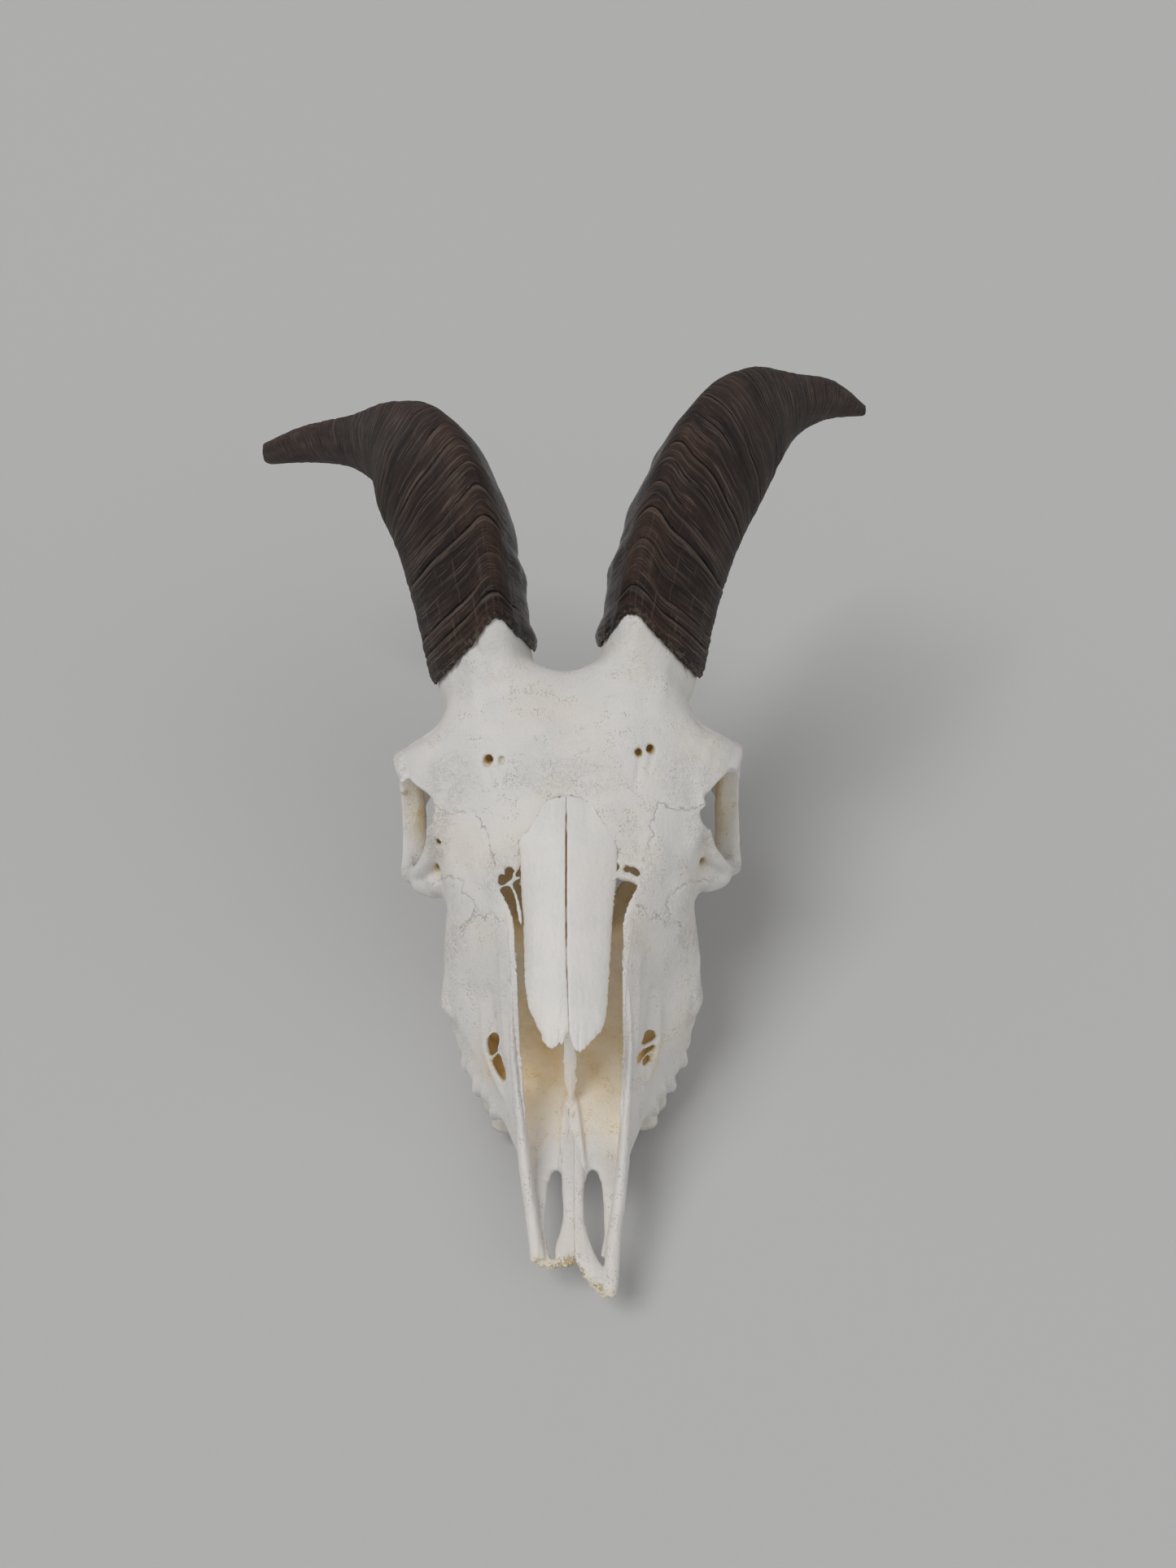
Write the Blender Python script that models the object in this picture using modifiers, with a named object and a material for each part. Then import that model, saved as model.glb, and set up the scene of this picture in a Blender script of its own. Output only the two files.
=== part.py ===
"""Goat skull without its lower jaw: the cranium with its two horn cores, two nasal bones,
two incisive bones, two horn sheaths and twelve upper cheek teeth, each one closed solid.

The skull rests as it would on a table: on its molars in front, and behind on the two
processes beside the condyles. +Z is up, the nose points to -Y, and +X is the animal's left.
"""

import math

import bmesh
import bpy
import numpy as np
from mathutils import Matrix, Vector

# The skull is drawn in millimetres: X from the midline, Y back from the tip of the nose and
# Z up from the table. Everything is scaled to metres once, at the end.
MM = 0.001
GAP = 0.35  # clearance between two separate bones
VOXEL = 1.25  # grid on which the clay masses of the cranium are fused
CRANIUM_TRIANGLES = 4200
INCISIVE_TRIANGLES = 360
SHEATH_WALL = 2.4  # thickness of the horn at its open end
CORE_SHARE = 0.52  # how far up the sheath its bone core reaches
CORE_TOP_GAP = 0.012  # share of the sheath left free over the core
CORE_ROOT = 16.0  # length of the core that is sunk in the forehead
SOCKET_DEPTH = 3.5  # how far a tooth stands in the jaw
NASAL_THICKNESS = 1.9
SIDES = (("left", 1), ("right", -1))

BONE = ("bone", (0.80, 0.77, 0.70), 0.55)
NASAL_BONE = ("nasal_bone", (0.84, 0.82, 0.78), 0.5)
TOOTH = ("tooth", (0.78, 0.74, 0.66), 0.35)
HORN = ("horn", (0.06, 0.035, 0.028), 0.5)

# Half outlines of the skull across its length, from the top midline round to the bottom
# midline: the key is Y, and each point is (X, Z).
FACE = {
    38: (
        (0, 28), (12, 28.5), (15.4, 28), (16.9, 25.5), (17.1, 22.5),
        (16.3, 19), (13.5, 17), (11, 17), (6, 18), (0, 18.5),
    ),
    50: (
        (0, 36), (12, 36.5), (16.6, 36), (18.3, 32), (19, 28),
        (19.3, 24), (19, 19), (13.5, 16.5), (8, 18.5), (0, 19.5),
    ),
    62: (
        (0, 46.5), (12, 47), (17.4, 46.5), (21, 41), (24.5, 34),
        (27, 26), (27.5, 17), (19, 12), (12, 18), (0, 20.5),
    ),
    75: (
        (0, 66), (12, 66.5), (18, 66), (23, 56), (28, 44),
        (33, 30), (33, 17), (21, 12), (13, 19.5), (0, 22.5),
    ),
    87: (
        (0, 79), (12, 79.5), (18.6, 79), (25, 68), (32, 54),
        (39.8, 37), (37.5, 18), (22.5, 12), (14, 21), (0, 24),
    ),
    97: (
        (0, 84), (12, 84.5), (19.8, 83.8), (27, 74.5), (35.8, 60),
        (44.5, 38.5), (39.5, 18), (23.5, 12), (14.5, 22), (0, 25),
    ),
    110: (
        (0, 88), (12, 88.5), (23.6, 88), (31, 82), (39.5, 69),
        (44.5, 50), (40, 18), (23.5, 12), (15, 22.5), (0, 25.5),
    ),
    122: (
        (0, 91), (13, 92), (26.5, 92), (35, 86.5), (41.5, 77),
        (43, 60), (39, 19), (24, 12), (15.5, 22.5), (0, 25.5),
    ),
    132: (
        (0, 95), (14, 96), (28, 95.5), (37, 90.5), (44.5, 82),
        (44.5, 66), (36, 21), (24, 14), (16, 22.5), (0, 25.5),
    ),
    140: (
        (0, 94), (13, 94), (25, 93), (33, 88), (38, 79),
        (36, 66), (29, 36), (23, 27), (15, 30), (0, 34),
    ),
}
FOREHEAD = {
    120: (
        (0, 96), (12, 95.5), (22, 92.5), (30, 87), (34, 83), (38, 79),
        (38, 73), (32, 66), (26, 58), (22, 50), (0, 46),
    ),
    131: (
        (0, 102.6), (13, 101.7), (25, 98), (36, 92.6), (42, 88.8), (46, 84.5),
        (45, 78), (38, 72), (30, 62), (22, 50), (0, 48),
    ),
    141: (
        (0, 107.2), (14, 106.8), (26, 104.5), (37, 100), (43, 96), (47.5, 92.5),
        (46, 89), (38, 84), (27, 72), (20, 54), (0, 52),
    ),
    152: (
        (0, 111), (14, 111.3), (27, 109.8), (39, 105), (47, 101), (54, 97),
        (53, 94), (41, 91), (27, 79), (18, 58), (0, 56),
    ),
    163: (
        (0, 113.8), (14, 115), (28, 115), (40, 108), (50, 101), (58.5, 95.5),
        (57.5, 92), (44, 91), (28, 81), (18, 60), (0, 58),
    ),
    171: (
        (0, 115.6), (14, 118.2), (28, 120.5), (40, 110.5), (47, 99), (59.5, 91.5),
        (58.5, 88), (45, 90), (29, 81), (20, 62), (0, 58),
    ),
    177: (
        (0, 116.6), (13.5, 120), (27.5, 124.5), (39.5, 112.5), (44, 102), (50, 93.5),
        (48, 91), (42, 91), (30, 82), (22, 62), (0, 57),
    ),
    183: (
        (0, 115.6), (13, 120.5), (27, 126), (39.5, 112), (43, 104), (43.5, 99),
        (42, 96), (37, 92), (31, 82), (25, 62), (0, 57),
    ),
    192: (
        (0, 106), (11, 113), (25, 120), (38, 111), (40, 104), (39.5, 98),
        (38, 94), (34, 90), (30, 80), (25, 62), (0, 55),
    ),
}
BRAINCASE = {
    178: (
        (0, 110), (14, 110), (24, 106), (28, 97), (29, 84),
        (27, 72), (21, 62), (12, 55), (0, 53),
    ),
    186: (
        (0, 109), (14, 109), (26, 106), (32, 97), (33, 84),
        (31, 69), (24, 56), (12, 48), (0, 47),
    ),
    196: (
        (0, 102.5), (14, 102), (25, 99.5), (32, 92), (34, 81),
        (32, 66), (24, 52), (11, 44), (0, 43),
    ),
    208: (
        (0, 92.5), (13, 92), (24, 89.5), (31.5, 84), (34.5, 74),
        (33.5, 61), (26, 48), (12, 41), (0, 40.5),
    ),
    220: (
        (0, 82.5), (13, 82), (23, 80), (30, 75), (34.5, 66.5),
        (35, 55), (28, 44), (13, 38), (0, 37),
    ),
    230: (
        (0, 73.5), (13, 73), (22, 71.5), (29, 67), (34, 59),
        (35.5, 49), (29, 39), (14, 34), (0, 34),
    ),
    237: (
        (0, 66.5), (12, 66), (21, 64), (28, 59.5), (32.5, 53),
        (33, 44), (27, 37), (14, 33), (0, 33),
    ),
    241: (
        (0, 59), (10, 58.5), (18, 57), (24, 53.5), (28, 48),
        (28, 42), (23, 37), (12, 34), (0, 34),
    ),
}
NOSTRIL = {
    30: (
        (0, 60), (8, 60), (13.8, 60), (13.8, 30), (14.6, 27),
        (14.7, 24.5), (13.4, 22.5), (8, 21.5), (0, 21.5),
    ),
    50: (
        (0, 70), (8, 70), (14.9, 70), (14.9, 37), (16.3, 32),
        (17, 28), (15.8, 23.5), (9, 22.5), (0, 22.5),
    ),
    62: (
        (0, 80), (8, 80), (15.7, 80), (15.8, 47.5), (18.8, 41),
        (21.2, 33), (20, 26.5), (11, 24), (0, 24),
    ),
    75: (
        (0, 90), (8, 90), (16.2, 90), (16.3, 66.5), (21, 55),
        (25.5, 42), (24.5, 30), (12, 26), (0, 26),
    ),
    87: (
        (0, 100), (8, 100), (16.8, 100), (16.9, 79.5), (22.8, 67),
        (29.3, 51), (28.5, 33), (13, 27.5), (0, 27.5),
    ),
    97: (
        (0, 105), (9, 105), (17.6, 105), (17.8, 84.5), (24.6, 73),
        (33, 55), (31, 35), (14, 28.5), (0, 28.5),
    ),
    104: (
        (0, 107), (9, 107), (20.4, 107), (20.6, 87), (27, 78),
        (35.5, 60), (33, 38), (15, 29), (0, 29),
    ),
    109: (
        (0, 108), (9, 108), (22.4, 108), (22.8, 88.5), (29, 80),
        (37, 63), (34, 40), (15, 29.5), (0, 29.5),
    ),
    114: (
        (0, 91), (9, 90.5), (18, 89.5), (24, 86), (31, 79),
        (38.5, 66), (34, 41), (15, 30), (0, 30),
    ),
    122: (
        (0, 92), (9, 91.5), (18, 90.5), (25, 86.5), (32, 79),
        (39, 64), (33, 42), (15, 31), (0, 31),
    ),
    131: ((0, 95), (9, 94.5), (16, 92), (23, 86), (31, 77), (38, 62), (31, 42), (15, 32), (0, 32)),
    140: ((0, 94), (6, 93.5), (10, 91), (15, 84), (18, 74), (20, 60), (16, 46), (10, 36), (0, 36)),
    151: ((0, 88), (3, 87.5), (6, 86), (10, 80), (12, 72), (12, 62), (9, 52), (5, 44), (0, 44)),
}

# The animal's left horn has +X; in the other one X is turned round. Each stop on the middle
# line is (X, Y, Z, half depth from keel to nape, half width, turn of the keel in degrees).
HORNS = {
    "left": (
        (27, 193, 104, 28, 22, 14), (31, 206, 121, 28, 22.5, 16), (36.5, 219, 137, 28, 22.5, 20),
        (45, 235, 150, 27.5, 22, 26), (57.5, 256, 158, 26, 20.5, 34), (73, 281, 159, 20.5, 16.5, 42),
        (92, 305, 153, 12, 10.5, 48), (111, 326, 144, 8, 7, 50), (131, 345, 129, 2.5, 2.5, 50),
    ),
    "right": (
        (27, 193, 103, 28, 22, 14), (30.5, 206, 120, 28, 22.5, 16), (34, 219, 135, 28, 23, 20),
        (39, 234, 148, 27.5, 23.5, 26), (48.5, 252, 155, 25.5, 22.5, 34), (63, 276, 153, 18.5, 15.5, 42),
        (86, 303, 142, 10.5, 9, 48), (111, 328, 128, 7.8, 6.8, 50), (135, 350, 112, 5, 4.6, 50),
    ),
}
# Outline of a horn across its length as (towards the keel, outwards), keel first, and how
# far along the middle line the sheath's ragged edge lies at each of these points.
HORN_OUTLINE = (
    (1.0, 0.0), (0.80, 0.42), (0.25, 0.88), (-0.40, 0.95), (-0.88, 0.55),
    (-1.0, 0.0), (-0.88, -0.50), (-0.40, -0.82), (0.25, -0.72), (0.80, -0.34),
)
SHEATH_EDGE = (21.5, 15, 6, 3, 6, 9, 10, 9, 9.5, 15)

# Cheek teeth from front to back: name, length, width, distance of the middle from the
# skull's midline, and height of the worn face over the table.
TEETH = (
    ("premolar_2", 8, 7.5, 23.5, 5.0),
    ("premolar_3", 9, 9.5, 26.5, 3.4),
    ("premolar_4", 10, 11, 29, 1.8),
    ("molar_1", 13, 12.5, 30.5, 0.5),
    ("molar_2", 16, 13.5, 31, 0.0),
    ("molar_3", 18, 12.5, 30.5, 0.0),
)
TOOTH_ROW_FRONT = 62.5
JAW_EDGE = 12.0


def glide(points, steps, closed=False):
    """Points on a smooth curve through the given ones, steps of them to each span."""
    points = np.array(points, float)
    count = len(points)
    out = []
    for i in range(count if closed else count - 1):
        b, c = points[i], points[(i + 1) % count]
        a = points[i - 1] if closed or i else 2 * b - c
        d = points[(i + 2) % count] if closed or i + 2 < count else 2 * c - b
        for t in np.arange(steps) / steps:
            out.append(0.5 * (2 * b + (c - a) * t + (2 * a - 5 * b + 4 * c - d) * t**2
                              + (3 * b - a - 3 * c + d) * t**3))
    if not closed:
        out.append(points[-1])
    return np.array(out)


def skin(rings, round_trip=False):
    """Closed mesh over rings with equally many points; its ends are fans, or they meet."""
    form = bmesh.new()
    loops = [[form.verts.new(point) for point in ring] for ring in rings]
    pairs = list(zip(loops, loops[1:]))
    if round_trip:
        pairs.append((loops[-1], loops[0]))
    for near, far in pairs:
        for i in range(len(near)):
            form.faces.new((near[i - 1], near[i], far[i], far[i - 1]))
    if not round_trip:
        for loop, ring in ((loops[0], rings[0]), (loops[-1], rings[-1])):
            hub = form.verts.new(np.mean(ring, axis=0))
            for i in range(len(loop)):
                form.faces.new((loop[i - 1], loop[i], hub))
    bmesh.ops.recalc_face_normals(form, faces=form.faces)
    return form


def mass(stations, round_steps=3, long_steps=5):
    """Symmetric body lofted through half outlines that are given by their distance back."""
    rings = []
    for y, half in sorted(stations.items()):
        other = [(-x, z) for x, z in reversed(half[1:-1])]
        ring = glide(list(half) + other, round_steps, closed=True)
        rings.append([(x, y, z) for x, z in ring])
    shape = np.array(rings)
    return skin(glide(shape.reshape(len(rings), -1), long_steps).reshape(-1, *shape.shape[1:]))


def rod(stops, aim=(0, 0, 1), around=12, steps=5, ring_centre=None):
    """Rod through stops of (x, y, z, half height, half width). The height is measured
    towards aim, or away from ring_centre when the rod closes on itself round it."""
    closed = ring_centre is not None
    track = glide(stops, steps, closed)
    path = track[:, :3]
    if closed:
        heading = np.roll(path, -1, axis=0) - np.roll(path, 1, axis=0)
    else:
        heading = np.gradient(path, axis=0)
    rings = []
    for point, ahead, (half_height, half_width) in zip(path, heading, track[:, 3:]):
        ahead = Vector(ahead).normalized()
        up = Vector(point) - Vector(ring_centre) if closed else Vector(aim)
        up = (up - ahead * up.dot(ahead)).normalized()
        side = ahead.cross(up)
        turns = [2 * math.pi * k / around for k in range(around)]
        rings.append([
            Vector(point) + up * (half_height * math.cos(t)) + side * (half_width * math.sin(t))
            for t in turns
        ])
    return skin(rings, round_trip=closed)


def blob(centre, radii, pitch=0.0):
    """Ellipsoid; pitch in degrees lifts its front end."""
    form = bmesh.new()
    bmesh.ops.create_uvsphere(form, u_segments=24, v_segments=14, radius=1)
    place = Matrix.Translation(centre) @ Matrix.Rotation(math.radians(-pitch), 4, "X")
    bmesh.ops.transform(form, matrix=place @ Matrix.Diagonal((*radii, 1)), verts=form.verts)
    return form


def both_sides(form):
    """The form and its mirror image across the midline."""
    other = form.copy()
    bmesh.ops.scale(other, vec=(-1, 1, 1), verts=other.verts)
    bmesh.ops.reverse_faces(other, faces=other.faces)
    return [form, other]


def join(name, forms):
    """One object out of several forms, which it uses up."""
    whole = bmesh.new()
    for form in forms:
        piece = bpy.data.meshes.new("piece")
        form.to_mesh(piece)
        form.free()
        whole.from_mesh(piece)
        bpy.data.meshes.remove(piece)
    mesh = bpy.data.meshes.new(name)
    whole.to_mesh(mesh)
    whole.free()
    shape = bpy.data.objects.new(name, mesh)
    bpy.context.scene.collection.objects.link(shape)
    return shape


def settle(shape):
    """Replace an object's mesh by the one that its modifiers make."""
    done = bpy.data.meshes.new_from_object(shape.evaluated_get(bpy.context.evaluated_depsgraph_get()))
    shape.modifiers.clear()
    shape.data = done
    return shape


def fuse(shape, voxel):
    """Melt the overlapping bodies of an object into one skin."""
    melt = shape.modifiers.new("fuse", "REMESH")
    melt.mode = "VOXEL"
    melt.voxel_size = voxel
    return settle(shape)


def combine(shape, tool, operation):
    """Cut shape by tool, or add the tool to it. The tool is used up."""
    work = shape.modifiers.new(operation, "BOOLEAN")
    work.operation = operation
    work.solver = "EXACT"
    work.object = tool
    settle(shape)
    bpy.data.objects.remove(tool)
    return shape


def thin_out(shape, rounds, triangles):
    """Relax the steps of the grid and bring the mesh down to so many triangles."""
    relax = shape.modifiers.new("relax", "SMOOTH")
    relax.iterations = rounds
    relax.factor = 0.5
    settle(shape)
    faces = sum(len(face.vertices) - 2 for face in shape.data.polygons)
    reduce = shape.modifiers.new("reduce", "DECIMATE")
    reduce.ratio = min(1.0, triangles / faces)
    return settle(shape)


def keep_largest(shape):
    """Drop the crumbs that a cut leaves beside the main body, and close up its mesh."""
    form = bmesh.new()
    form.from_mesh(shape.data)
    bmesh.ops.triangulate(form, faces=form.faces)
    bmesh.ops.dissolve_degenerate(form, dist=0.0005, edges=form.edges)
    form.verts.ensure_lookup_table()
    left = set(form.verts)
    islands = []
    while left:
        island = {left.pop()}
        front = list(island)
        while front:
            vert = front.pop()
            for edge in vert.link_edges:
                other = edge.other_vert(vert)
                if other in left:
                    left.discard(other)
                    island.add(other)
                    front.append(other)
        islands.append(island)
    islands.sort(key=len)
    crumbs = [vert for island in islands[:-1] for vert in island]
    bmesh.ops.delete(form, geom=crumbs, context="VERTS")
    bmesh.ops.triangulate(form, faces=form.faces)
    bmesh.ops.recalc_face_normals(form, faces=form.faces)
    form.to_mesh(shape.data)
    form.free()
    return shape


def grown(shape, distance):
    """A cutter: the same body, larger all round by the given distance."""
    form = bmesh.new()
    form.from_mesh(shape.data)
    form.normal_update()
    moves = [(v, v.normal * distance * min(v.calc_shell_factor(), 1.6)) for v in form.verts]
    for vert, move in moves:
        vert.co += move
    return join("cutter", [form])


def horn_path(side):
    """Stops along a horn: distance, middle, directions to the keel and outwards, halves."""
    track = glide(HORNS[side], 8)
    path = track[:, :3]
    distance = np.concatenate(([0], np.cumsum(np.linalg.norm(np.diff(path, axis=0), axis=1))))
    keels, outs = [], []
    for ahead, turn in zip(np.gradient(path, axis=0), np.radians(track[:, 5])):
        ahead = Vector(ahead).normalized()
        keel = Vector((0, -1, 0.9))
        keel = (keel - ahead * keel.dot(ahead)).normalized()
        out = ahead.cross(keel)
        if out.x < 0:
            out.negate()
        keels.append(math.cos(turn) * keel - math.sin(turn) * out)
        outs.append(math.cos(turn) * out + math.sin(turn) * keel)
    return distance, np.hstack((path, np.array(keels), np.array(outs), track[:, 3:5]))


def horn_ring(side, along, inset):
    """Ring round a horn at a distance along it for each point of its outline."""
    distance, stops = horn_path(side)
    outline = glide(HORN_OUTLINE, 2, closed=True)
    ring = []
    for (to_keel, out), where in zip(outline, along):
        at = np.array([np.interp(where, distance, column) for column in stops.T])
        if where < 0:
            at[:3] += (stops[1, :3] - stops[0, :3]) / distance[1] * where
        depth, width = at[9] - inset, at[10] - inset
        point = at[:3] + to_keel * depth * at[3:6] + out * width * at[6:9]
        ring.append((point[0] * (1 if side == "left" else -1), point[1], point[2]))
    return ring


def horn_rings(side, shares, inset_at):
    """Rings from the sheath's ragged edge (share 0) to the horn's tip (share 1)."""
    length = horn_path(side)[0][-1]
    edge = glide(np.array(SHEATH_EDGE, float)[:, None], 2, closed=True)[:, 0]
    return [horn_ring(side, edge + (length - edge) * share, inset_at(share)) for share in shares]


def wall(share):
    """The sheath's wall grows thicker towards the tip."""
    return SHEATH_WALL + 3.0 * share


def outer_horn(side):
    """The horn's outside as a closed body with a rounded tip."""
    shares = (0, 0.08, 0.17, 0.26, 0.36, 0.46, 0.56, 0.66, 0.77, 0.88, 1.0)
    return skin(horn_rings(side, shares, lambda share: 0.0))


def core_shares():
    return [CORE_SHARE * k / 4 for k in range(5)]


def horn_socket(side):
    """The hollow of the sheath, which starts a little below its edge."""
    inside = horn_rings(side, core_shares(), wall)
    below = horn_rings(side, (-0.02,), lambda share: SHEATH_WALL)
    return skin(below + inside)


def horn_core(side):
    """The bone that stands in the hollow, with its root in the forehead."""
    def inset(share):
        return wall(share) + GAP + 1.5 * share

    shares = core_shares()
    shares[-1] -= CORE_TOP_GAP
    inside = horn_rings(side, shares, inset)
    edge = glide(np.array(SHEATH_EDGE, float)[:, None], 2, closed=True)[:, 0]
    root = [
        horn_ring(side, np.full(len(edge), -CORE_ROOT), SHEATH_WALL + 4),
        horn_ring(side, edge * 0.5 - CORE_ROOT * 0.25, SHEATH_WALL + GAP + 0.5),
    ]
    return skin(root + inside)


def cranium_masses():
    """The closed clay bodies that melt together into the outside of the cranium."""
    forms = [mass(FACE), mass(FOREHEAD), mass(BRAINCASE)]
    orbit_rim = (
        (46, 140, 92, 2.6, 3.2), (52.5, 150, 95, 2.4, 3.2), (57.5, 162, 93.5, 2.6, 3.2),
        (59.5, 171, 88, 2.8, 3.6), (59, 175, 77, 2.8, 4.6), (59, 170, 63, 3.2, 4.8),
        (60, 156, 55, 2.8, 3.6), (60, 142.5, 56, 2.8, 3.2), (55, 135.5, 64, 2.8, 3.4),
        (48.6, 134, 74, 2.8, 3.2), (47, 135.5, 85, 2.6, 3.2),
    )
    forms += both_sides(rod(orbit_rim, ring_centre=(55, 153, 75), steps=4))
    cheek = (
        (39, 116, 54, 9, 3.5), (40.5, 126, 57, 8, 3.5), (45, 133, 60, 6.5, 3.2),
        (53, 139, 58.5, 4.4, 3), (59.5, 147, 55, 4.2, 2.6), (60.5, 158, 53, 4.4, 2.4),
        (60.5, 170, 53.5, 4.6, 2.3), (57, 186, 55, 4.4, 2.6), (50, 198, 57, 5, 3.2),
        (38, 206, 59, 6.5, 4.5),
    )
    forms += both_sides(rod(cheek, steps=4))
    forms += both_sides(blob((43, 199, 53), (12, 8, 4.5)))
    forms += both_sides(blob((13.5, 243, 38), (9, 8, 11), pitch=18))
    base = (
        (0, 243, 32, 4, 9), (0, 225, 31, 5.5, 11), (0, 205, 35, 8, 9), (0, 188, 42, 8, 7),
        (0, 160, 52, 8, 6),
    )
    forms.append(rod(base))
    process = (
        (28, 230, 48, 5, 7), (29, 230, 34, 3.4, 6), (28, 229.5, 20, 2.6, 5), (27, 228.5, 8, 2.2, 3.6),
        (26.5, 228, 1.6, 1.8, 2.4),
    )
    forms += both_sides(rod(process, aim=(1, 0, 0)))
    forms += both_sides(blob((22, 211, 27), (8.5, 12.5, 11)))
    ear = ((28, 212, 42, 7, 7), (36, 215, 46, 6, 6), (41, 216.5, 48, 5.2, 5.2))
    forms += both_sides(rod(ear))
    crest = (
        (0, 233, 70, 2.8, 2.8), (12, 232, 69.5, 2.8, 2.6), (23, 229, 65.5, 2.8, 2.4),
        (31, 225.5, 58, 2.6, 2.2), (36, 222.5, 48, 2.4, 2.2),
    )
    forms += both_sides(rod(crest))
    wing = (
        (12, 128, 32, 7, 1.6), (12.5, 140, 36, 10, 1.6), (12.5, 152, 36, 12, 1.6),
        (12.5, 163, 38, 12, 1.6), (12, 173, 42, 8, 2),
    )
    forms += both_sides(rod(wing))
    hook = ((12.5, 160, 30, 2.4, 1.6), (13, 163, 23, 1.8, 1.4), (13.5, 166, 18, 1.3, 1.2))
    forms += both_sides(rod(hook, aim=(0, 1, 0)))
    return forms


def cranium_hollows():
    """What is taken out of the cranium: nose, orbits, brain space and its openings."""
    forms = [mass(NOSTRIL)]
    forms += both_sides(blob((60, 154.5, 74.5), (39, 18, 17)))
    forms.append(blob((0, 207, 66.5), (29, 29, 18), pitch=32))
    forms.append(rod(((0, 222, 57, 9, 10), (0, 236, 46, 9, 10), (0, 256, 39, 9.5, 10.5))))
    forms += both_sides(blob((46, 216.5, 48), (9, 3.2, 3.2)))
    airway = ((0, 134, 34, 6, 9), (0, 146, 38, 8, 9.5), (0, 160, 38, 9, 9.5), (0, 178, 28, 8, 9))
    forms.append(rod(airway))
    notch = ((0, 124, 24, 8, 6), (0, 132, 24, 10, 12), (0, 146, 22, 12, 13))
    forms.append(rod(notch))
    forms += both_sides(blob((28.5, 73, 38), (5, 6.5, 5)))
    forms += both_sides(blob((6, 38, 18), (2.5, 5, 5)))
    return forms


def nose_partition():
    """Upright plate along the middle of the nose, with a broad top edge."""
    plate = (
        (0, 47, 23, 2.5, 1.7), (0, 62, 27, 5, 1.6), (0, 80, 34, 10, 1.6), (0, 100, 43, 17, 1.5),
        (0, 122, 54, 22, 1.5), (0, 146, 64, 22, 1.8),
    )
    edge = (
        (0, 48, 24.5, 1.5, 2.6), (0, 62, 31.5, 1.5, 2.6), (0, 80, 43.5, 1.5, 2.6),
        (0, 100, 59, 1.5, 2.6), (0, 122, 75, 1.5, 2.6),
    )
    return [rod(plate), rod(edge, around=8)]


def make_cranium():
    """The one fused bone of the cranium, before its neighbours are let into it."""
    shape = fuse(join("cranium", cranium_masses()), VOXEL)
    hollows = fuse(join("hollows", cranium_hollows()), VOXEL)
    combine(shape, hollows, "DIFFERENCE")
    partition = join("partition", nose_partition())
    inner = bmesh.new()
    inner.from_mesh(shape.data)
    inner.from_mesh(partition.data)
    inner.to_mesh(shape.data)
    inner.free()
    bpy.data.objects.remove(partition)
    fuse(shape, VOXEL)
    return keep_largest(thin_out(shape, 3, CRANIUM_TRIANGLES))


def nasal_bone(side):
    """Long shield that roofs the nose, pointed behind and split in two lobes in front."""
    sign = 1 if side == "left" else -1
    stops = (
        (130.5, 102.3, 1.2), (127, 100.6, 3.6), (122, 98.6, 8.0), (116, 95.8, 12.2),
        (110, 93.0, 14.4), (102, 89.2, 15.0), (92, 84.6, 15.0), (80, 79.0, 14.4),
        (70, 74.4, 13.2), (63, 71.2, 11.4), (59, 69.4, 9.2), (56.6, 68.4, 5.6),
    )
    rings = []
    for y, z, half in stops:
        reach = np.linspace(GAP / 2, max(half, 1.0), 4)
        fall = 4.6 * (reach / 15.0) ** 2
        top = [(x, y, z - drop) for x, drop in zip(reach, fall)]
        under = [(x, y + 0.3, z - drop - NASAL_THICKNESS) for x, drop in zip(reach, fall)]
        rings.append([(sign * x, y, z) for x, y, z in top + under[::-1]])
    return join("nasal_" + side, [skin(rings)])


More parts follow.
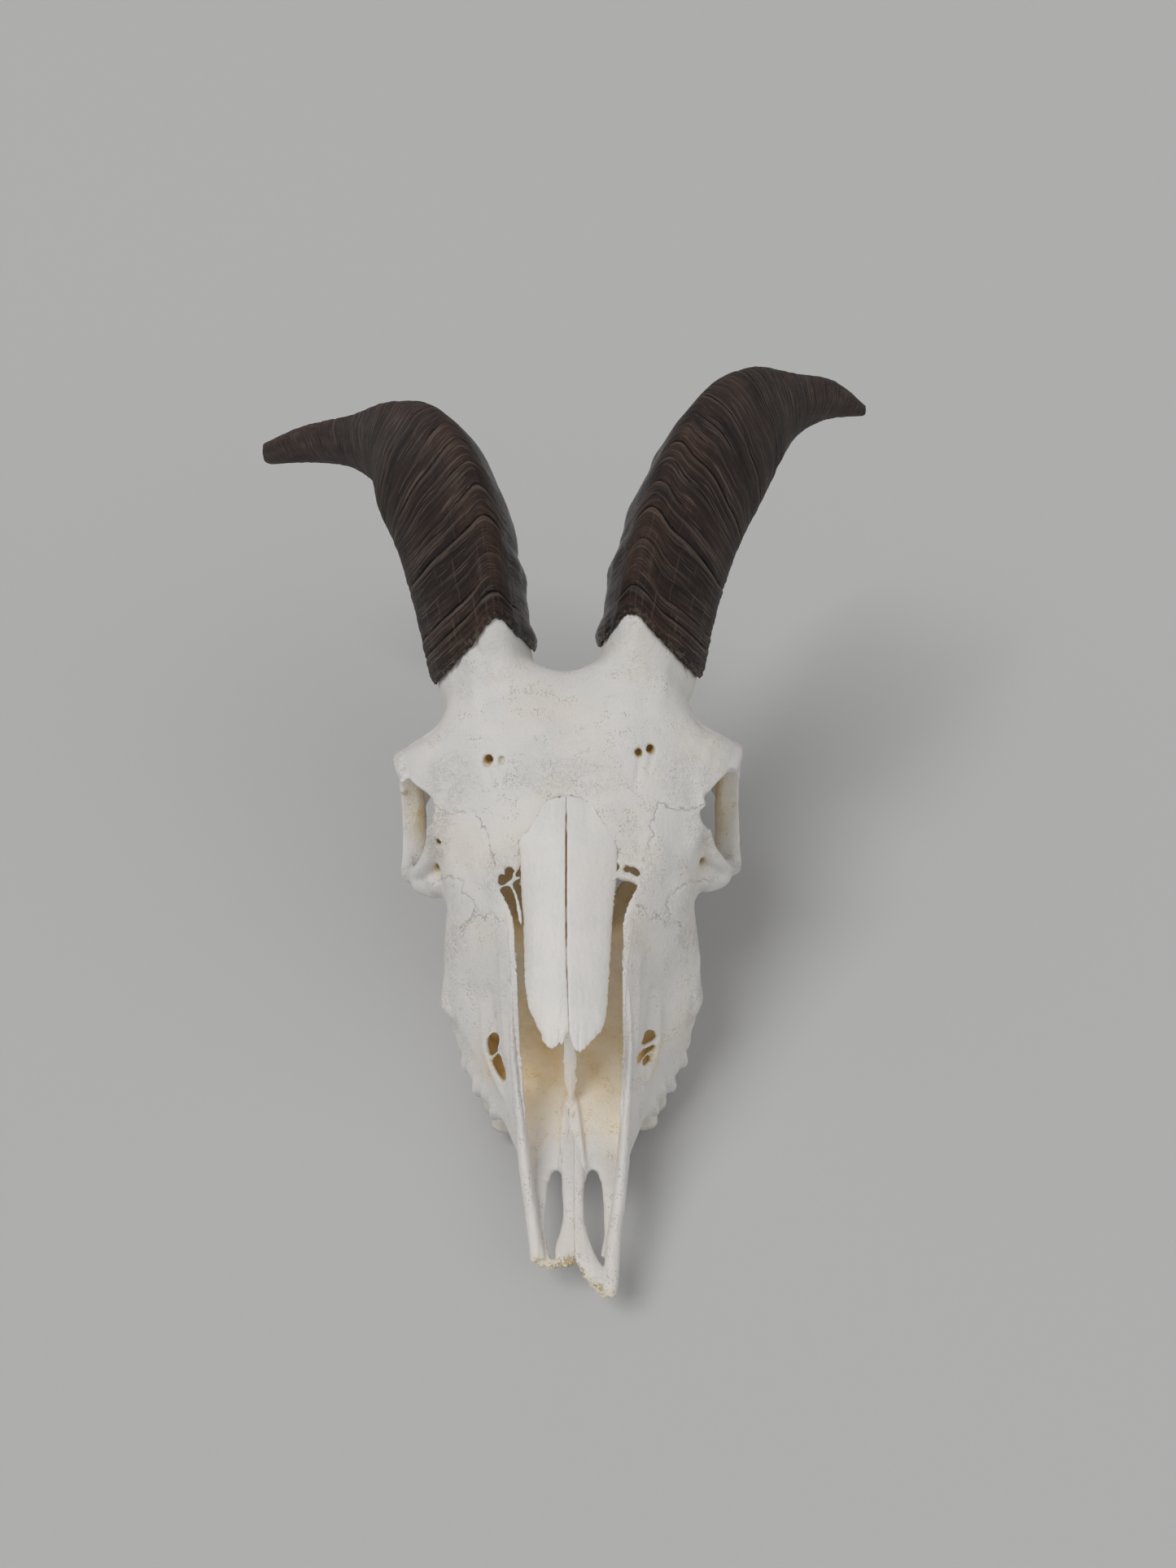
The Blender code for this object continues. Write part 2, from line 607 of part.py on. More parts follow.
def incisive_bone(side):
    """Forked front bone of the jaw: its side bar runs up beside the nose, its inner bar
    lies on the midline, and they meet in the tip, which is broken off on the right."""
    sign = 1 if side == "left" else -1
    bar = [
        (17.6, 87, 76.5, 1.2, 0.8), (18.2, 80, 68, 2.6, 1.0), (18.4, 74, 59, 3.4, 1.2),
        (18.2, 68, 49.5, 4.0, 1.4), (17.4, 60.5, 40.5, 4.2, 1.6), (16.6, 51, 33.5, 4.2, 1.8),
        (15.4, 40, 27, 4.2, 2.0), (13.8, 29, 22.6, 3.2, 2.1), (12.0, 19, 19.6, 2.6, 2.3),
        (11.2, 12.5, 17.8, 2.4, 2.5),
    ]
    shelf = [
        (12.2, 41, 18.6, 1.2, 3.2), (12.6, 35, 18.2, 1.2, 2.9), (11.8, 27, 17.4, 1.2, 2.4),
        (10.8, 19, 16.8, 1.4, 2.2), (9.6, 13, 16.4, 1.6, 2.2),
    ]
    inner = [
        (2.2, 47, 22, 1.4, 1.9), (2.0, 40, 20.4, 1.4, 1.8), (1.7, 32, 19.0, 1.4, 1.5),
        (1.8, 26, 18.2, 1.4, 1.6), (2.4, 21, 17.4, 1.4, 2.2), (3.4, 16.5, 16.6, 1.5, 3.2),
    ]
    if side == "left":
        bar += [(10.6, 6, 16.4, 2.2, 2.2), (9.6, 2.4, 15.4, 1.6, 1.8)]
        bridge = [
            (3.0, 15, 16.2, 1.5, 2.4), (6.0, 11, 16.2, 1.7, 3.2), (8.6, 7, 16.2, 1.9, 3.2),
            (9.6, 3.6, 15.6, 1.6, 2.0),
        ]
    else:
        bridge = [(2.8, 15.5, 16.5, 1.7, 3.0), (6.2, 14.6, 16.4, 1.6, 1.7), (10.4, 13.2, 16.9, 2.0, 2.0)]
    forms = [rod(stops, around=10) for stops in (bar, shelf, inner, bridge)]
    shape = thin_out(fuse(join("incisive_" + side, forms), 0.6), 2, INCISIVE_TRIANGLES)
    if sign < 0:
        for vert in shape.data.vertices:
            vert.co.x *= -1
        shape.data.flip_normals()
    for vert in shape.data.vertices:
        if vert.co.x * sign < GAP / 2:
            vert.co.x = sign * GAP / 2
    return keep_largest(shape)


def horn_sheath(side):
    """Horn with the hollow for its core."""
    shape = join("horn_sheath_" + side, [outer_horn(side)])
    return keep_largest(combine(shape, join("hollow", [horn_socket(side)]), "DIFFERENCE"))


def cheek_tooth(name, length, width, middle, worn, front, side):
    """Crown with three ribs outside and two lobes inside, narrower at its flat worn face."""
    sign = 1 if side == "left" else -1
    out, back = width / 2, length / 2
    outline = (
        (out, -back), (out * 0.78, -back * 0.55), (out * 0.95, 0), (out * 0.78, back * 0.55), (out, back),
        (-out * 0.45, back), (-out, back * 0.6), (-out, back * 0.35), (-out * 0.55, 0),
        (-out, -back * 0.35), (-out, -back * 0.6), (-out * 0.45, -back),
    )
    levels = ((worn, 0.93), (worn + 3.0, 1.0), (JAW_EDGE + SOCKET_DEPTH, 0.92))
    rings = []
    for z, scale in levels:
        rings.append([
            (sign * (middle + x * scale), front + length / 2 + y * (scale - 0.03), z)
            for x, y in outline
        ])
    return join(name + "_" + side, [skin(rings)])


def cheek_teeth(side):
    """The six teeth of one side, front to back."""
    row = []
    front = TOOTH_ROW_FRONT
    for name, length, width, middle, worn in TEETH:
        row.append(cheek_tooth(name, length, width, middle, worn, front, side))
        front += length
    return row


def make_material(name, colour, roughness):
    """Plain finish for one kind of tissue."""
    material = bpy.data.materials.new(name)
    material.use_nodes = True
    shader = material.node_tree.nodes["Principled BSDF"]
    shader.inputs["Base Color"].default_value = (*colour, 1)
    shader.inputs["Roughness"].default_value = roughness
    shader.inputs["Metallic"].default_value = 0
    return material


def finish(shape, material, collection, origin):
    """Scale to metres, move to the shared origin, colour and file under the collection."""
    place = Matrix.Scale(MM, 4) @ Matrix.Translation(-origin)
    shape.data.transform(place)
    shape.data.shade_smooth()
    shape.data.set_sharp_from_angle(angle=math.radians(40))
    shape.data.materials.clear()
    shape.data.materials.append(material)
    bpy.context.scene.collection.objects.unlink(shape)
    collection.objects.link(shape)


def main():
    for old in list(bpy.data.objects):
        bpy.data.objects.remove(old)
    cranium = make_cranium()
    sheaths = [horn_sheath(side) for side, _ in SIDES]
    nasals = [nasal_bone(side) for side, _ in SIDES]
    incisives = [incisive_bone(side) for side, _ in SIDES]
    teeth = [tooth for side, _ in SIDES for tooth in cheek_teeth(side)]
    for side, _ in SIDES:
        hull = join("hull", [outer_horn(side)])
        combine(cranium, grown(hull, GAP), "DIFFERENCE")
        bpy.data.objects.remove(hull)
    for neighbour in nasals + incisives + teeth:
        combine(cranium, grown(neighbour, GAP), "DIFFERENCE")
    for side, _ in SIDES:
        combine(cranium, join("core", [horn_core(side)]), "UNION")
    keep_largest(cranium)

    collection = bpy.data.collections.new("goat_skull")
    bpy.context.scene.collection.children.link(collection)
    pieces = [(cranium, BONE)]
    pieces += [(shape, HORN) for shape in sheaths]
    pieces += [(shape, NASAL_BONE) for shape in nasals]
    pieces += [(shape, BONE) for shape in incisives]
    pieces += [(shape, TOOTH) for shape in teeth]
    points = np.array([vert.co for shape, _ in pieces for vert in shape.data.vertices])
    low, high = points.min(axis=0), points.max(axis=0)
    origin = Vector(((low[0] + high[0]) / 2, (low[1] + high[1]) / 2, low[2]))
    materials = {}
    for shape, (name, colour, roughness) in pieces:
        if name not in materials:
            materials[name] = make_material(name, colour, roughness)
        finish(shape, materials[name], collection, origin)


main()
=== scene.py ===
# %% [markdown]
# # A goat skull in cells
# The object is the skull of a male goat without its lower jaw. It has five kinds of surface:
# chalky bleached bone, the two smooth nasal bones, teeth, raw spongy bone where it broke, and
# two big ringed horns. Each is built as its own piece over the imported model, in skull
# millimetres (X from the midline, Y back from the tip of the nose, Z up from the table), and
# is scaled to metres and moved to its place at the end.

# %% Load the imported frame
import math

import bmesh
import bpy
import numpy as np
from mathutils import Matrix, Vector, kdtree, noise
from mathutils.bvhtree import BVHTree


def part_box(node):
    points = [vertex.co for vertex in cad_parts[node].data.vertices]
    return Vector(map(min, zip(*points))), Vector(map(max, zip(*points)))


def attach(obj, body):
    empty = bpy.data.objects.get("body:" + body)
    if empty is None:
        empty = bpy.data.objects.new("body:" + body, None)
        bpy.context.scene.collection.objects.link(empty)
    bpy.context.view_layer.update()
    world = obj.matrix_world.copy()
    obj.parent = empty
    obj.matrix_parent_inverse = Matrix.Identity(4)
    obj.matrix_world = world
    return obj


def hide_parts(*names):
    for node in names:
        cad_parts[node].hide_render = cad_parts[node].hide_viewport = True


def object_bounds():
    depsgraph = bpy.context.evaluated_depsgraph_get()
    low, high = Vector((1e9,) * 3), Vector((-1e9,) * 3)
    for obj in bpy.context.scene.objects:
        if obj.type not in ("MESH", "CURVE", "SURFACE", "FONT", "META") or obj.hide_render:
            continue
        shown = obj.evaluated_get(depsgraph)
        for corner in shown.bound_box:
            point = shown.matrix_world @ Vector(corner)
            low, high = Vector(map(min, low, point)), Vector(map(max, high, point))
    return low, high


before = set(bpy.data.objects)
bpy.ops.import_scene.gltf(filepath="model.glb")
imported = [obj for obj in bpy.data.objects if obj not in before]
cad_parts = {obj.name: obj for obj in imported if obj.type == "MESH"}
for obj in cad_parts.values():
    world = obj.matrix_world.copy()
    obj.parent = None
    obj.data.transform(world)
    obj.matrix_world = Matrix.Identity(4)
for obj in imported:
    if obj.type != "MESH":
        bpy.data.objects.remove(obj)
cad_low, cad_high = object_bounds()
MM = 0.001
SIDES = (("left", 1), ("right", -1))
print("nodes:", len(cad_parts), "box:", [round(v, 4) for v in cad_high - cad_low])

# %% [markdown]
# The first left molar is a handy landmark: its middle lies 30.5 mm beside the midline and
# 96 mm behind the tip of the nose. From it comes the move from skull millimetres to the frame.

# %% Find the way from skull millimetres to the frame
molar_low, molar_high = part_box("molar_1_left")
HOME = (molar_low + molar_high) / 2 - Vector((30.5, 96, 0)) * MM
HOME.z = 0
print("home:", [round(v, 5) for v in HOME])

# %% [markdown]
# The camera looks down on the nose at 44 degrees with a short lens, which is why the nose
# looks long and the horns small. It is fixed first, because fine things such as sutures are
# put on the bone by shooting a ray from it through a point of the picture.

# %% Set up the camera
PICTURE = (1445, 1927)
FOCAL_PIXELS = 1500
EYE = Vector((9.106, -155.953, 389.982))
RIGHTWARD = Vector((0.99976, -0.01152, -0.01879))
UPWARD = Vector((0.02150, 0.69805, 0.71573))
BACKWARD = RIGHTWARD.cross(UPWARD).normalized()

lens = bpy.data.cameras.new("camera")
lens.sensor_fit = "VERTICAL"
lens.sensor_height = 36
lens.lens = FOCAL_PIXELS / PICTURE[1] * lens.sensor_height
lens.clip_start = 0.01
lens.dof.use_dof = False
camera = bpy.data.objects.new("camera", lens)
bpy.context.scene.collection.objects.link(camera)
camera.matrix_world = Matrix.Translation(EYE * MM + HOME) @ Matrix(
    (RIGHTWARD, UPWARD, BACKWARD)).transposed().to_4x4()
bpy.context.scene.camera = camera
print("lens:", round(lens.lens, 2), "mm")


def sight_line(u, v):
    """Direction from the camera through a point of the picture."""
    across = (u - PICTURE[0] / 2) / FOCAL_PIXELS
    down = (v - PICTURE[1] / 2) / FOCAL_PIXELS
    return (RIGHTWARD * across - UPWARD * down - BACKWARD).normalized()

# %% [markdown]
# Bone has no straight lines, so nearly every form here is a loft: a flat sheet of cells that
# is bent through a row of outlines. The outlines are spread with a smooth curve, so a few
# of them are enough.

# %% Helpers for lofted forms
def glide(points, steps, closed=False):
    """Points on a smooth curve through the given ones, steps of them to each span."""
    points = np.array(points, float)
    count = len(points)
    out = []
    for i in range(count if closed else count - 1):
        b, c = points[i], points[(i + 1) % count]
        a = points[i - 1] if closed or i else 2 * b - c
        d = points[(i + 2) % count] if closed or i + 2 < count else 2 * c - b
        for t in np.arange(steps) / steps:
            out.append(0.5 * (2 * b + (c - a) * t + (2 * a - 5 * b + 4 * c - d) * t**2
                              + (3 * b - a - 3 * c + d) * t**3))
    if not closed:
        out.append(points[-1])
    return np.array(out)


def bend_sheet(places):
    """A flat sheet of cells whose corners are moved to the places (rows, columns, 3)."""
    rows, columns = places.shape[:2]
    form = bmesh.new()
    bmesh.ops.create_grid(form, x_segments=columns - 1, y_segments=rows - 1, size=1)
    for vert, place in zip(form.verts, places.reshape(-1, 3)):
        vert.co = place
    return form


def loft(rings, round_trip=False):
    """Closed form through rings with equally many points; its open ends are filled."""
    rings = np.array(rings, float)
    rings = np.concatenate((rings, rings[:, :1]), axis=1)
    if round_trip:
        rings = np.concatenate((rings, rings[:1]), axis=0)
    form = bend_sheet(rings)
    bmesh.ops.remove_doubles(form, verts=form.verts, dist=0.00001)
    bmesh.ops.holes_fill(form, edges=[edge for edge in form.edges if edge.is_boundary])
    bmesh.ops.recalc_face_normals(form, faces=form.faces)
    return form


def mass(stations, round_steps=4, long_steps=6):
    """Symmetric body through half outlines that are given by their distance back."""
    rings = []
    for y, half in sorted(stations.items()):
        other = [(-x, z) for x, z in reversed(half[1:-1])]
        ring = glide(list(half) + other, round_steps, closed=True)
        rings.append([(x, y, z) for x, z in ring])
    shape = np.array(rings)
    return loft(glide(shape.reshape(len(rings), -1), long_steps).reshape(-1, *shape.shape[1:]))


def rod(stops, aim=(0, 0, 1), around=16, steps=6, ring_centre=None):
    """Rod through stops of (x, y, z, half height, half width). The height is measured
    towards aim, or away from ring_centre when the rod closes on itself round it."""
    closed = ring_centre is not None
    track = glide(stops, steps, closed)
    path = track[:, :3]
    if closed:
        heading = np.roll(path, -1, axis=0) - np.roll(path, 1, axis=0)
    else:
        heading = np.gradient(path, axis=0)
    rings = []
    turns = [2 * math.pi * k / around for k in range(around)]
    for point, ahead, (high, wide) in zip(path, heading, track[:, 3:]):
        ahead = Vector(ahead).normalized()
        up = Vector(point) - Vector(ring_centre) if closed else Vector(aim)
        up = (up - ahead * up.dot(ahead)).normalized()
        side = ahead.cross(up)
        rings.append([
            Vector(point) + up * (high * math.cos(t)) + side * (wide * math.sin(t)) for t in turns
        ])
    return loft(rings, round_trip=closed)


def blob(centre, radii, pitch=0.0):
    """Ellipsoid; pitch in degrees lifts its front end."""
    form = bmesh.new()
    bmesh.ops.create_uvsphere(form, u_segments=32, v_segments=20, radius=1)
    place = Matrix.Translation(centre) @ Matrix.Rotation(math.radians(-pitch), 4, "X")
    bmesh.ops.transform(form, matrix=place @ Matrix.Diagonal((*radii, 1)), verts=form.verts)
    return form


def both_sides(form):
    """The form and its mirror image across the midline."""
    other = form.copy()
    bmesh.ops.scale(other, vec=(-1, 1, 1), verts=other.verts)
    bmesh.ops.reverse_faces(other, faces=other.faces)
    return [form, other]

# %% [markdown]
# Forms are melted together on a fine grid, as one presses lumps of clay into one. Modifiers
# do that work, and their result is kept as the mesh, so nothing stays live.

# %% Helpers that join, melt and cut
def gather(name, forms):
    """One object out of several forms, which it uses up."""
    whole = bmesh.new()
    for form in forms:
        piece = bpy.data.meshes.new("piece")
        form.to_mesh(piece)
        form.free()
        whole.from_mesh(piece)
        bpy.data.meshes.remove(piece)
    mesh = bpy.data.meshes.new(name)
    whole.to_mesh(mesh)
    whole.free()
    shape = bpy.data.objects.new(name, mesh)
    bpy.context.scene.collection.objects.link(shape)
    return shape


def settle(shape):
    """Replace an object's mesh by the one that its modifiers make."""
    view = bpy.context.evaluated_depsgraph_get()
    done = bpy.data.meshes.new_from_object(shape.evaluated_get(view))
    shape.modifiers.clear()
    shape.data = done
    return shape


def melt(shape, voxel, relax=0):
    """Fuse overlapping bodies into one skin, and relax the steps of the grid."""
    work = shape.modifiers.new("melt", "REMESH")
    work.mode = "VOXEL"
    work.voxel_size = voxel
    if relax:
        relaxing = shape.modifiers.new("relax", "SMOOTH")
        relaxing.iterations = relax
        relaxing.factor = 0.5
    return settle(shape)


def combine(shape, tool, operation):
    """Cut shape by tool, or add the tool to it. The tool is used up."""
    work = shape.modifiers.new(operation, "BOOLEAN")
    work.operation = operation
    work.solver = "EXACT"
    work.object = tool
    settle(shape)
    bpy.data.objects.remove(tool)
    return shape


def corners(shape):
    """The corners of an object's mesh as an array."""
    places = np.empty(len(shape.data.vertices) * 3)
    shape.data.vertices.foreach_get("co", places)
    return places.reshape(-1, 3)


def directions(shape):
    """The normals at the corners of an object's mesh as an array."""
    normals = np.empty(len(shape.data.vertices) * 3)
    shape.data.vertices.foreach_get("normal", normals)
    return normals.reshape(-1, 3)


def put_corners(shape, places):
    """Move the corners of an object's mesh to the places."""
    shape.data.vertices.foreach_set("co", np.ascontiguousarray(places, float).ravel())
    shape.data.update()


def keep_largest(shape):
    """Drop crumbs beside the main body."""
    form = bmesh.new()
    form.from_mesh(shape.data)
    left = set(form.verts)
    islands = []
    while left:
        front = {left.pop()}
        island = set()
        while front:
            island |= front
            front = {other for vert in front for edge in vert.link_edges for other in edge.verts}
            front -= island
        left -= island
        islands.append(island)
    islands.sort(key=len)
    crumbs = [vert for island in islands[:-1] for vert in island]
    bmesh.ops.delete(form, geom=crumbs, context="VERTS")
    form.to_mesh(shape.data)
    form.free()
    return shape


def thin_out(shape, triangles):
    """Bring the mesh down to so many triangles; flat stretches lose theirs first."""
    faces = sum(len(face.vertices) - 2 for face in shape.data.polygons)
    work = shape.modifiers.new("thin_out", "DECIMATE")
    work.ratio = min(1.0, triangles / faces)
    return settle(shape)


def nearest_place(shape, places):
    """For every corner of a shape, the number of the place that it lies nearest to."""
    lookup = kdtree.KDTree(len(places))
    for number, place in enumerate(places):
        lookup.insert(place, number)
    lookup.balance()
    return np.array([lookup.find(vert.co)[1] for vert in shape.data.vertices])

# %% [markdown]
# ## The run of the horns
# Each horn follows a smooth curve: up out of the forehead, back, and out to the side. On it
# are set cross-sections with a keel in front. The bony core inside and the horn sheath over
# it share this curve, so it is laid out first.

# %% Outlines of the horns
# Stops along each horn: middle (x, y, z), half depth, half width, turn of the keel inwards.
HORNS = {
    "left": (
        (27, 193, 104, 28, 22, 14), (31, 206, 121, 28, 22.5, 16), (36.5, 219, 137, 28, 22.5, 20),
        (45, 235, 150, 27.5, 22, 26), (57.5, 256, 158, 26, 20.5, 34), (73, 281, 159, 20.5, 16.5, 42),
        (92, 305, 153, 12, 10.5, 48), (111, 326, 144, 8, 7, 50), (131, 345, 129, 2.5, 2.5, 50),
    ),
    "right": (
        (27, 193, 103, 28, 22, 14), (30.5, 206, 120, 28, 22.5, 16), (34, 219, 135, 28, 23, 20),
        (39, 234, 148, 27.5, 23.5, 26), (48.5, 252, 155, 25.5, 22.5, 34),
        (63, 276, 153, 18.5, 15.5, 42), (86, 303, 142, 10.5, 9, 48),
        (111, 328, 128, 7.8, 6.8, 50), (135, 350, 112, 5, 4.6, 50),
    ),
}
# Cross-section of a horn, as shares of its half depth (to the keel) and half width (outwards).
HORN_OUTLINE = (
    (1, 0), (0.80, 0.42), (0.25, 0.88), (-0.40, 0.95), (-0.88, 0.55),
    (-1, 0), (-0.88, -0.50), (-0.40, -0.82), (0.25, -0.72), (0.80, -0.34),
)
# How far up the horn its lower edge lies, at each point of the cross-section.
SHEATH_EDGE = (21.5, 15, 6, 3, 6, 9, 10, 9, 9.5, 15)


def horn_path(side):
    """Stops along a horn: distance, middle, directions to the keel and outwards, halves."""
    track = glide(HORNS[side], 8)
    path = track[:, :3]
    distance = np.concatenate(([0], np.cumsum(np.linalg.norm(np.diff(path, axis=0), axis=1))))
    keels, outs = [], []
    for ahead, turn in zip(np.gradient(path, axis=0), np.radians(track[:, 5])):
        ahead = Vector(ahead).normalized()
        keel = Vector((0, -1, 0.9))
        keel = (keel - ahead * keel.dot(ahead)).normalized()
        out = ahead.cross(keel)
        if out.x < 0:
            out.negate()
        keels.append(math.cos(turn) * keel - math.sin(turn) * out)
        outs.append(math.cos(turn) * out + math.sin(turn) * keel)
    return distance, np.hstack((path, np.array(keels), np.array(outs), track[:, 3:5]))


def horn_core(side, sign):
    """The bone that carries a horn. It swells out of the forehead right to the skin of the
    sheath's edge, then runs on inside it, thinner."""
    distance, stops = horn_path(side)
    length = distance[-1]
    outline = glide(HORN_OUTLINE, 5, closed=True)
    edge = glide(np.array(SHEATH_EDGE, float)[:, None], 5, closed=True)[:, 0]
    # Each ring: how far up the horn it lies, and how deep under the skin of the horn.
    levels = [(edge * 0 - 20, 9.0), (edge * 0.4 - 12, 4.5), (edge * 0.8 - 6, 2.6),
              (edge - 2.5, 1.7), (edge - 0.3, 1.5), (edge + 1.5, 2.1), (edge + 6, 4.2)]
    levels += [(edge + (length - edge) * share, 4.5 + 3 * share) for share in (0.15, 0.3, 0.5)]
    first_step = stops[1, :3] - stops[0, :3]
    start = first_step / np.linalg.norm(first_step)
    rings = []
    for where, inset in levels:
        at = np.stack([np.interp(where, distance, column) for column in stops.T], axis=-1)
        under = np.minimum(where, 0)[:, None]
        middle = at[:, :3] + under * start
        rings.append(middle + (outline[:, 0] * (at[:, 9] - inset))[:, None] * at[:, 3:6]
                     + (outline[:, 1] * (at[:, 10] - inset))[:, None] * at[:, 6:9])
    return loft(np.array(rings) * np.array((sign, 1, 1)))


print("horn lengths:", {side: round(float(horn_path(side)[0][-1])) for side, _ in SIDES}, "mm")

# %% [markdown]
# ## The cranium
# All the bones of a grown skull's top and back have run together into one. It is built as a
# potter would: three lofts for the face, the forehead and the braincase, rods for the rims
# and arches, and eggs for the swellings. The hollows are a second lump that is cut out.

# %% Outlines of the face, forehead, braincase and nose
# The key is the distance back; each point is (distance from the midline, height).
FACE = {
    38: ((0, 28), (12, 28.5), (15.4, 28), (16.9, 25.5), (17.1, 22.5), (16.3, 19), (13.5, 17),
         (11, 17), (6, 18), (0, 18.5)),
    50: ((0, 36), (12, 36.5), (16.6, 36), (18.3, 32), (19, 28), (19.3, 24), (19, 19),
         (13.5, 16.5), (8, 18.5), (0, 19.5)),
    62: ((0, 46.5), (12, 47), (17.4, 46.5), (20.8, 41), (22.8, 34), (24, 27), (24.5, 19),
         (18.5, 15), (12, 18), (0, 20.5)),
    75: ((0, 66), (12, 66.5), (18, 66), (23, 56), (28, 44), (32.5, 30), (32, 17.5), (21, 14),
         (13, 19.5), (0, 22.5)),
    87: ((0, 79), (12, 79.5), (18.6, 79), (25, 68), (32, 54), (39.8, 37), (37.5, 18),
         (22.5, 12), (14, 21), (0, 24)),
    97: ((0, 84), (12, 84.5), (19.8, 83.8), (27, 74.5), (35.8, 60), (44.5, 38.5),
         (39.5, 18), (23.5, 12), (14.5, 22), (0, 25)),
    110: ((0, 88), (12, 88.5), (23.6, 88), (31, 82), (39.5, 69), (44.5, 50), (40, 18),
          (23.5, 12), (15, 22.5), (0, 25.5)),
    122: ((0, 91), (13, 92), (26.5, 92), (35, 86.5), (41.5, 77), (43, 60), (39, 19),
          (24, 12), (15.5, 22.5), (0, 25.5)),
    132: ((0, 95), (14, 96), (28, 95.5), (37, 90.5), (44.5, 82), (44.5, 66), (36, 21),
          (24, 14), (16, 22.5), (0, 25.5)),
    140: ((0, 94), (13, 94), (25, 93), (33, 88), (38, 79), (36, 66), (29, 36), (23, 27),
          (15, 30), (0, 34)),
}
FOREHEAD = {
    120: ((0, 96), (12, 95.5), (22, 92.5), (30, 87), (34, 83), (38, 79), (38, 73), (32, 66),
          (26, 58), (22, 50), (0, 46)),
    131: ((0, 102.6), (13, 101.7), (25, 98), (36, 92.6), (42, 88.8), (46, 84.5), (45, 78),
          (38, 72), (30, 62), (22, 50), (0, 48)),
    141: ((0, 107.2), (14, 106.8), (26, 104.5), (37, 100), (43, 96), (47.5, 92.5), (46, 89),
          (38, 84), (27, 72), (20, 54), (0, 52)),
    152: ((0, 111), (14, 111.3), (27, 109.8), (39, 105), (47, 101), (54, 97), (53, 94),
          (41, 91), (27, 79), (18, 58), (0, 56)),
    163: ((0, 113.8), (14, 115), (28, 115), (40, 108), (50, 101), (58.5, 95.5), (57.5, 92),
          (44, 91), (28, 81), (18, 60), (0, 58)),
    171: ((0, 115.6), (14, 118.2), (28, 120.5), (40, 110.5), (47, 99), (59.5, 91.5),
          (58.5, 88), (45, 90), (29, 81), (20, 62), (0, 58)),
    177: ((0, 116.6), (13.5, 120), (27.5, 124.5), (39.5, 112.5), (44, 102), (50, 93.5),
          (48, 91), (42, 91), (30, 82), (22, 62), (0, 57)),
    183: ((0, 115.6), (13, 120.5), (27, 126), (39.5, 112), (43, 104), (43.5, 99), (42, 96),
          (37, 92), (31, 82), (25, 62), (0, 57)),
    192: ((0, 106), (11, 113), (25, 120), (38, 111), (40, 104), (39.5, 98), (38, 94),
          (34, 90), (30, 80), (25, 62), (0, 55)),
}
BRAINCASE = {
    178: ((0, 110), (14, 110), (24, 106), (28, 97), (29, 84), (27, 72), (21, 62), (12, 55),
          (0, 53)),
    186: ((0, 109), (14, 109), (26, 106), (32, 97), (33, 84), (31, 69), (24, 56), (12, 48),
          (0, 47)),
    196: ((0, 102.5), (14, 102), (25, 99.5), (32, 92), (34, 81), (32, 66), (24, 52), (11, 44),
          (0, 43)),
    208: ((0, 92.5), (13, 92), (24, 89.5), (31.5, 84), (34.5, 74), (33.5, 61), (26, 48),
          (12, 41), (0, 40.5)),
    220: ((0, 82.5), (13, 82), (23, 80), (30, 75), (34.5, 66.5), (35, 55), (28, 44), (13, 38),
          (0, 37)),
    230: ((0, 73.5), (13, 73), (22, 71.5), (29, 67), (34, 59), (35.5, 49), (29, 39), (14, 34),
          (0, 34)),
    237: ((0, 66.5), (12, 66), (21, 64), (28, 59.5), (32.5, 53), (33, 44), (27, 37), (14, 33),
          (0, 33)),
    241: ((0, 59), (10, 58.5), (18, 57), (24, 53.5), (28, 48), (28, 42), (23, 37), (12, 34),
          (0, 34)),
}
NOSTRIL = {
    30: ((0, 60), (8, 60), (13.8, 60), (13.8, 30), (14.6, 27), (14.7, 24.5), (13.4, 22.5),
         (8, 21.5), (0, 21.5)),
    50: ((0, 70), (8, 70), (14.9, 70), (14.9, 37), (16.3, 32), (17, 28), (15.8, 23.5),
         (9, 22.5), (0, 22.5)),
    62: ((0, 80), (8, 80), (15.7, 80), (15.8, 47.5), (18.8, 41), (21.2, 33), (20, 26.5),
         (11, 24), (0, 24)),
    75: ((0, 90), (8, 90), (16.2, 90), (16.3, 66.5), (21, 55), (25.5, 42), (24.5, 30),
         (12, 26), (0, 26)),
    87: ((0, 100), (8, 100), (16.8, 100), (16.9, 79.5), (22.8, 67), (29.3, 51), (28.5, 33),
         (13, 27.5), (0, 27.5)),
    97: ((0, 105), (9, 105), (17.6, 105), (17.8, 84.5), (24.6, 73), (33, 55), (31, 35),
         (14, 28.5), (0, 28.5)),
    104: ((0, 107), (9, 107), (20.4, 107), (20.6, 87), (27, 78), (35.5, 60), (33, 38),
          (15, 29), (0, 29)),
    109: ((0, 108), (9, 108), (22.4, 108), (22.8, 88.5), (29, 80), (37, 63), (34, 40),
          (15, 29.5), (0, 29.5)),
    114: ((0, 91), (9, 90.5), (18, 89.5), (24, 86), (31, 79), (38.5, 66), (34, 41),
          (15, 30), (0, 30)),
    122: ((0, 92), (9, 91.5), (18, 90.5), (25, 86.5), (32, 79), (39, 64), (33, 42),
          (15, 31), (0, 31)),
    131: ((0, 95), (9, 94.5), (16, 92), (23, 86), (31, 77), (38, 62), (31, 42), (15, 32),
          (0, 32)),
    140: ((0, 94), (6, 93.5), (10, 91), (15, 84), (18, 74), (20, 60), (16, 46), (10, 36),
          (0, 36)),
    151: ((0, 88), (3, 87.5), (6, 86), (10, 80), (12, 72), (12, 62), (9, 52), (5, 44), (0, 44)),
}
print("outlines:", sum(map(len, (FACE, FOREHEAD, BRAINCASE, NOSTRIL))))

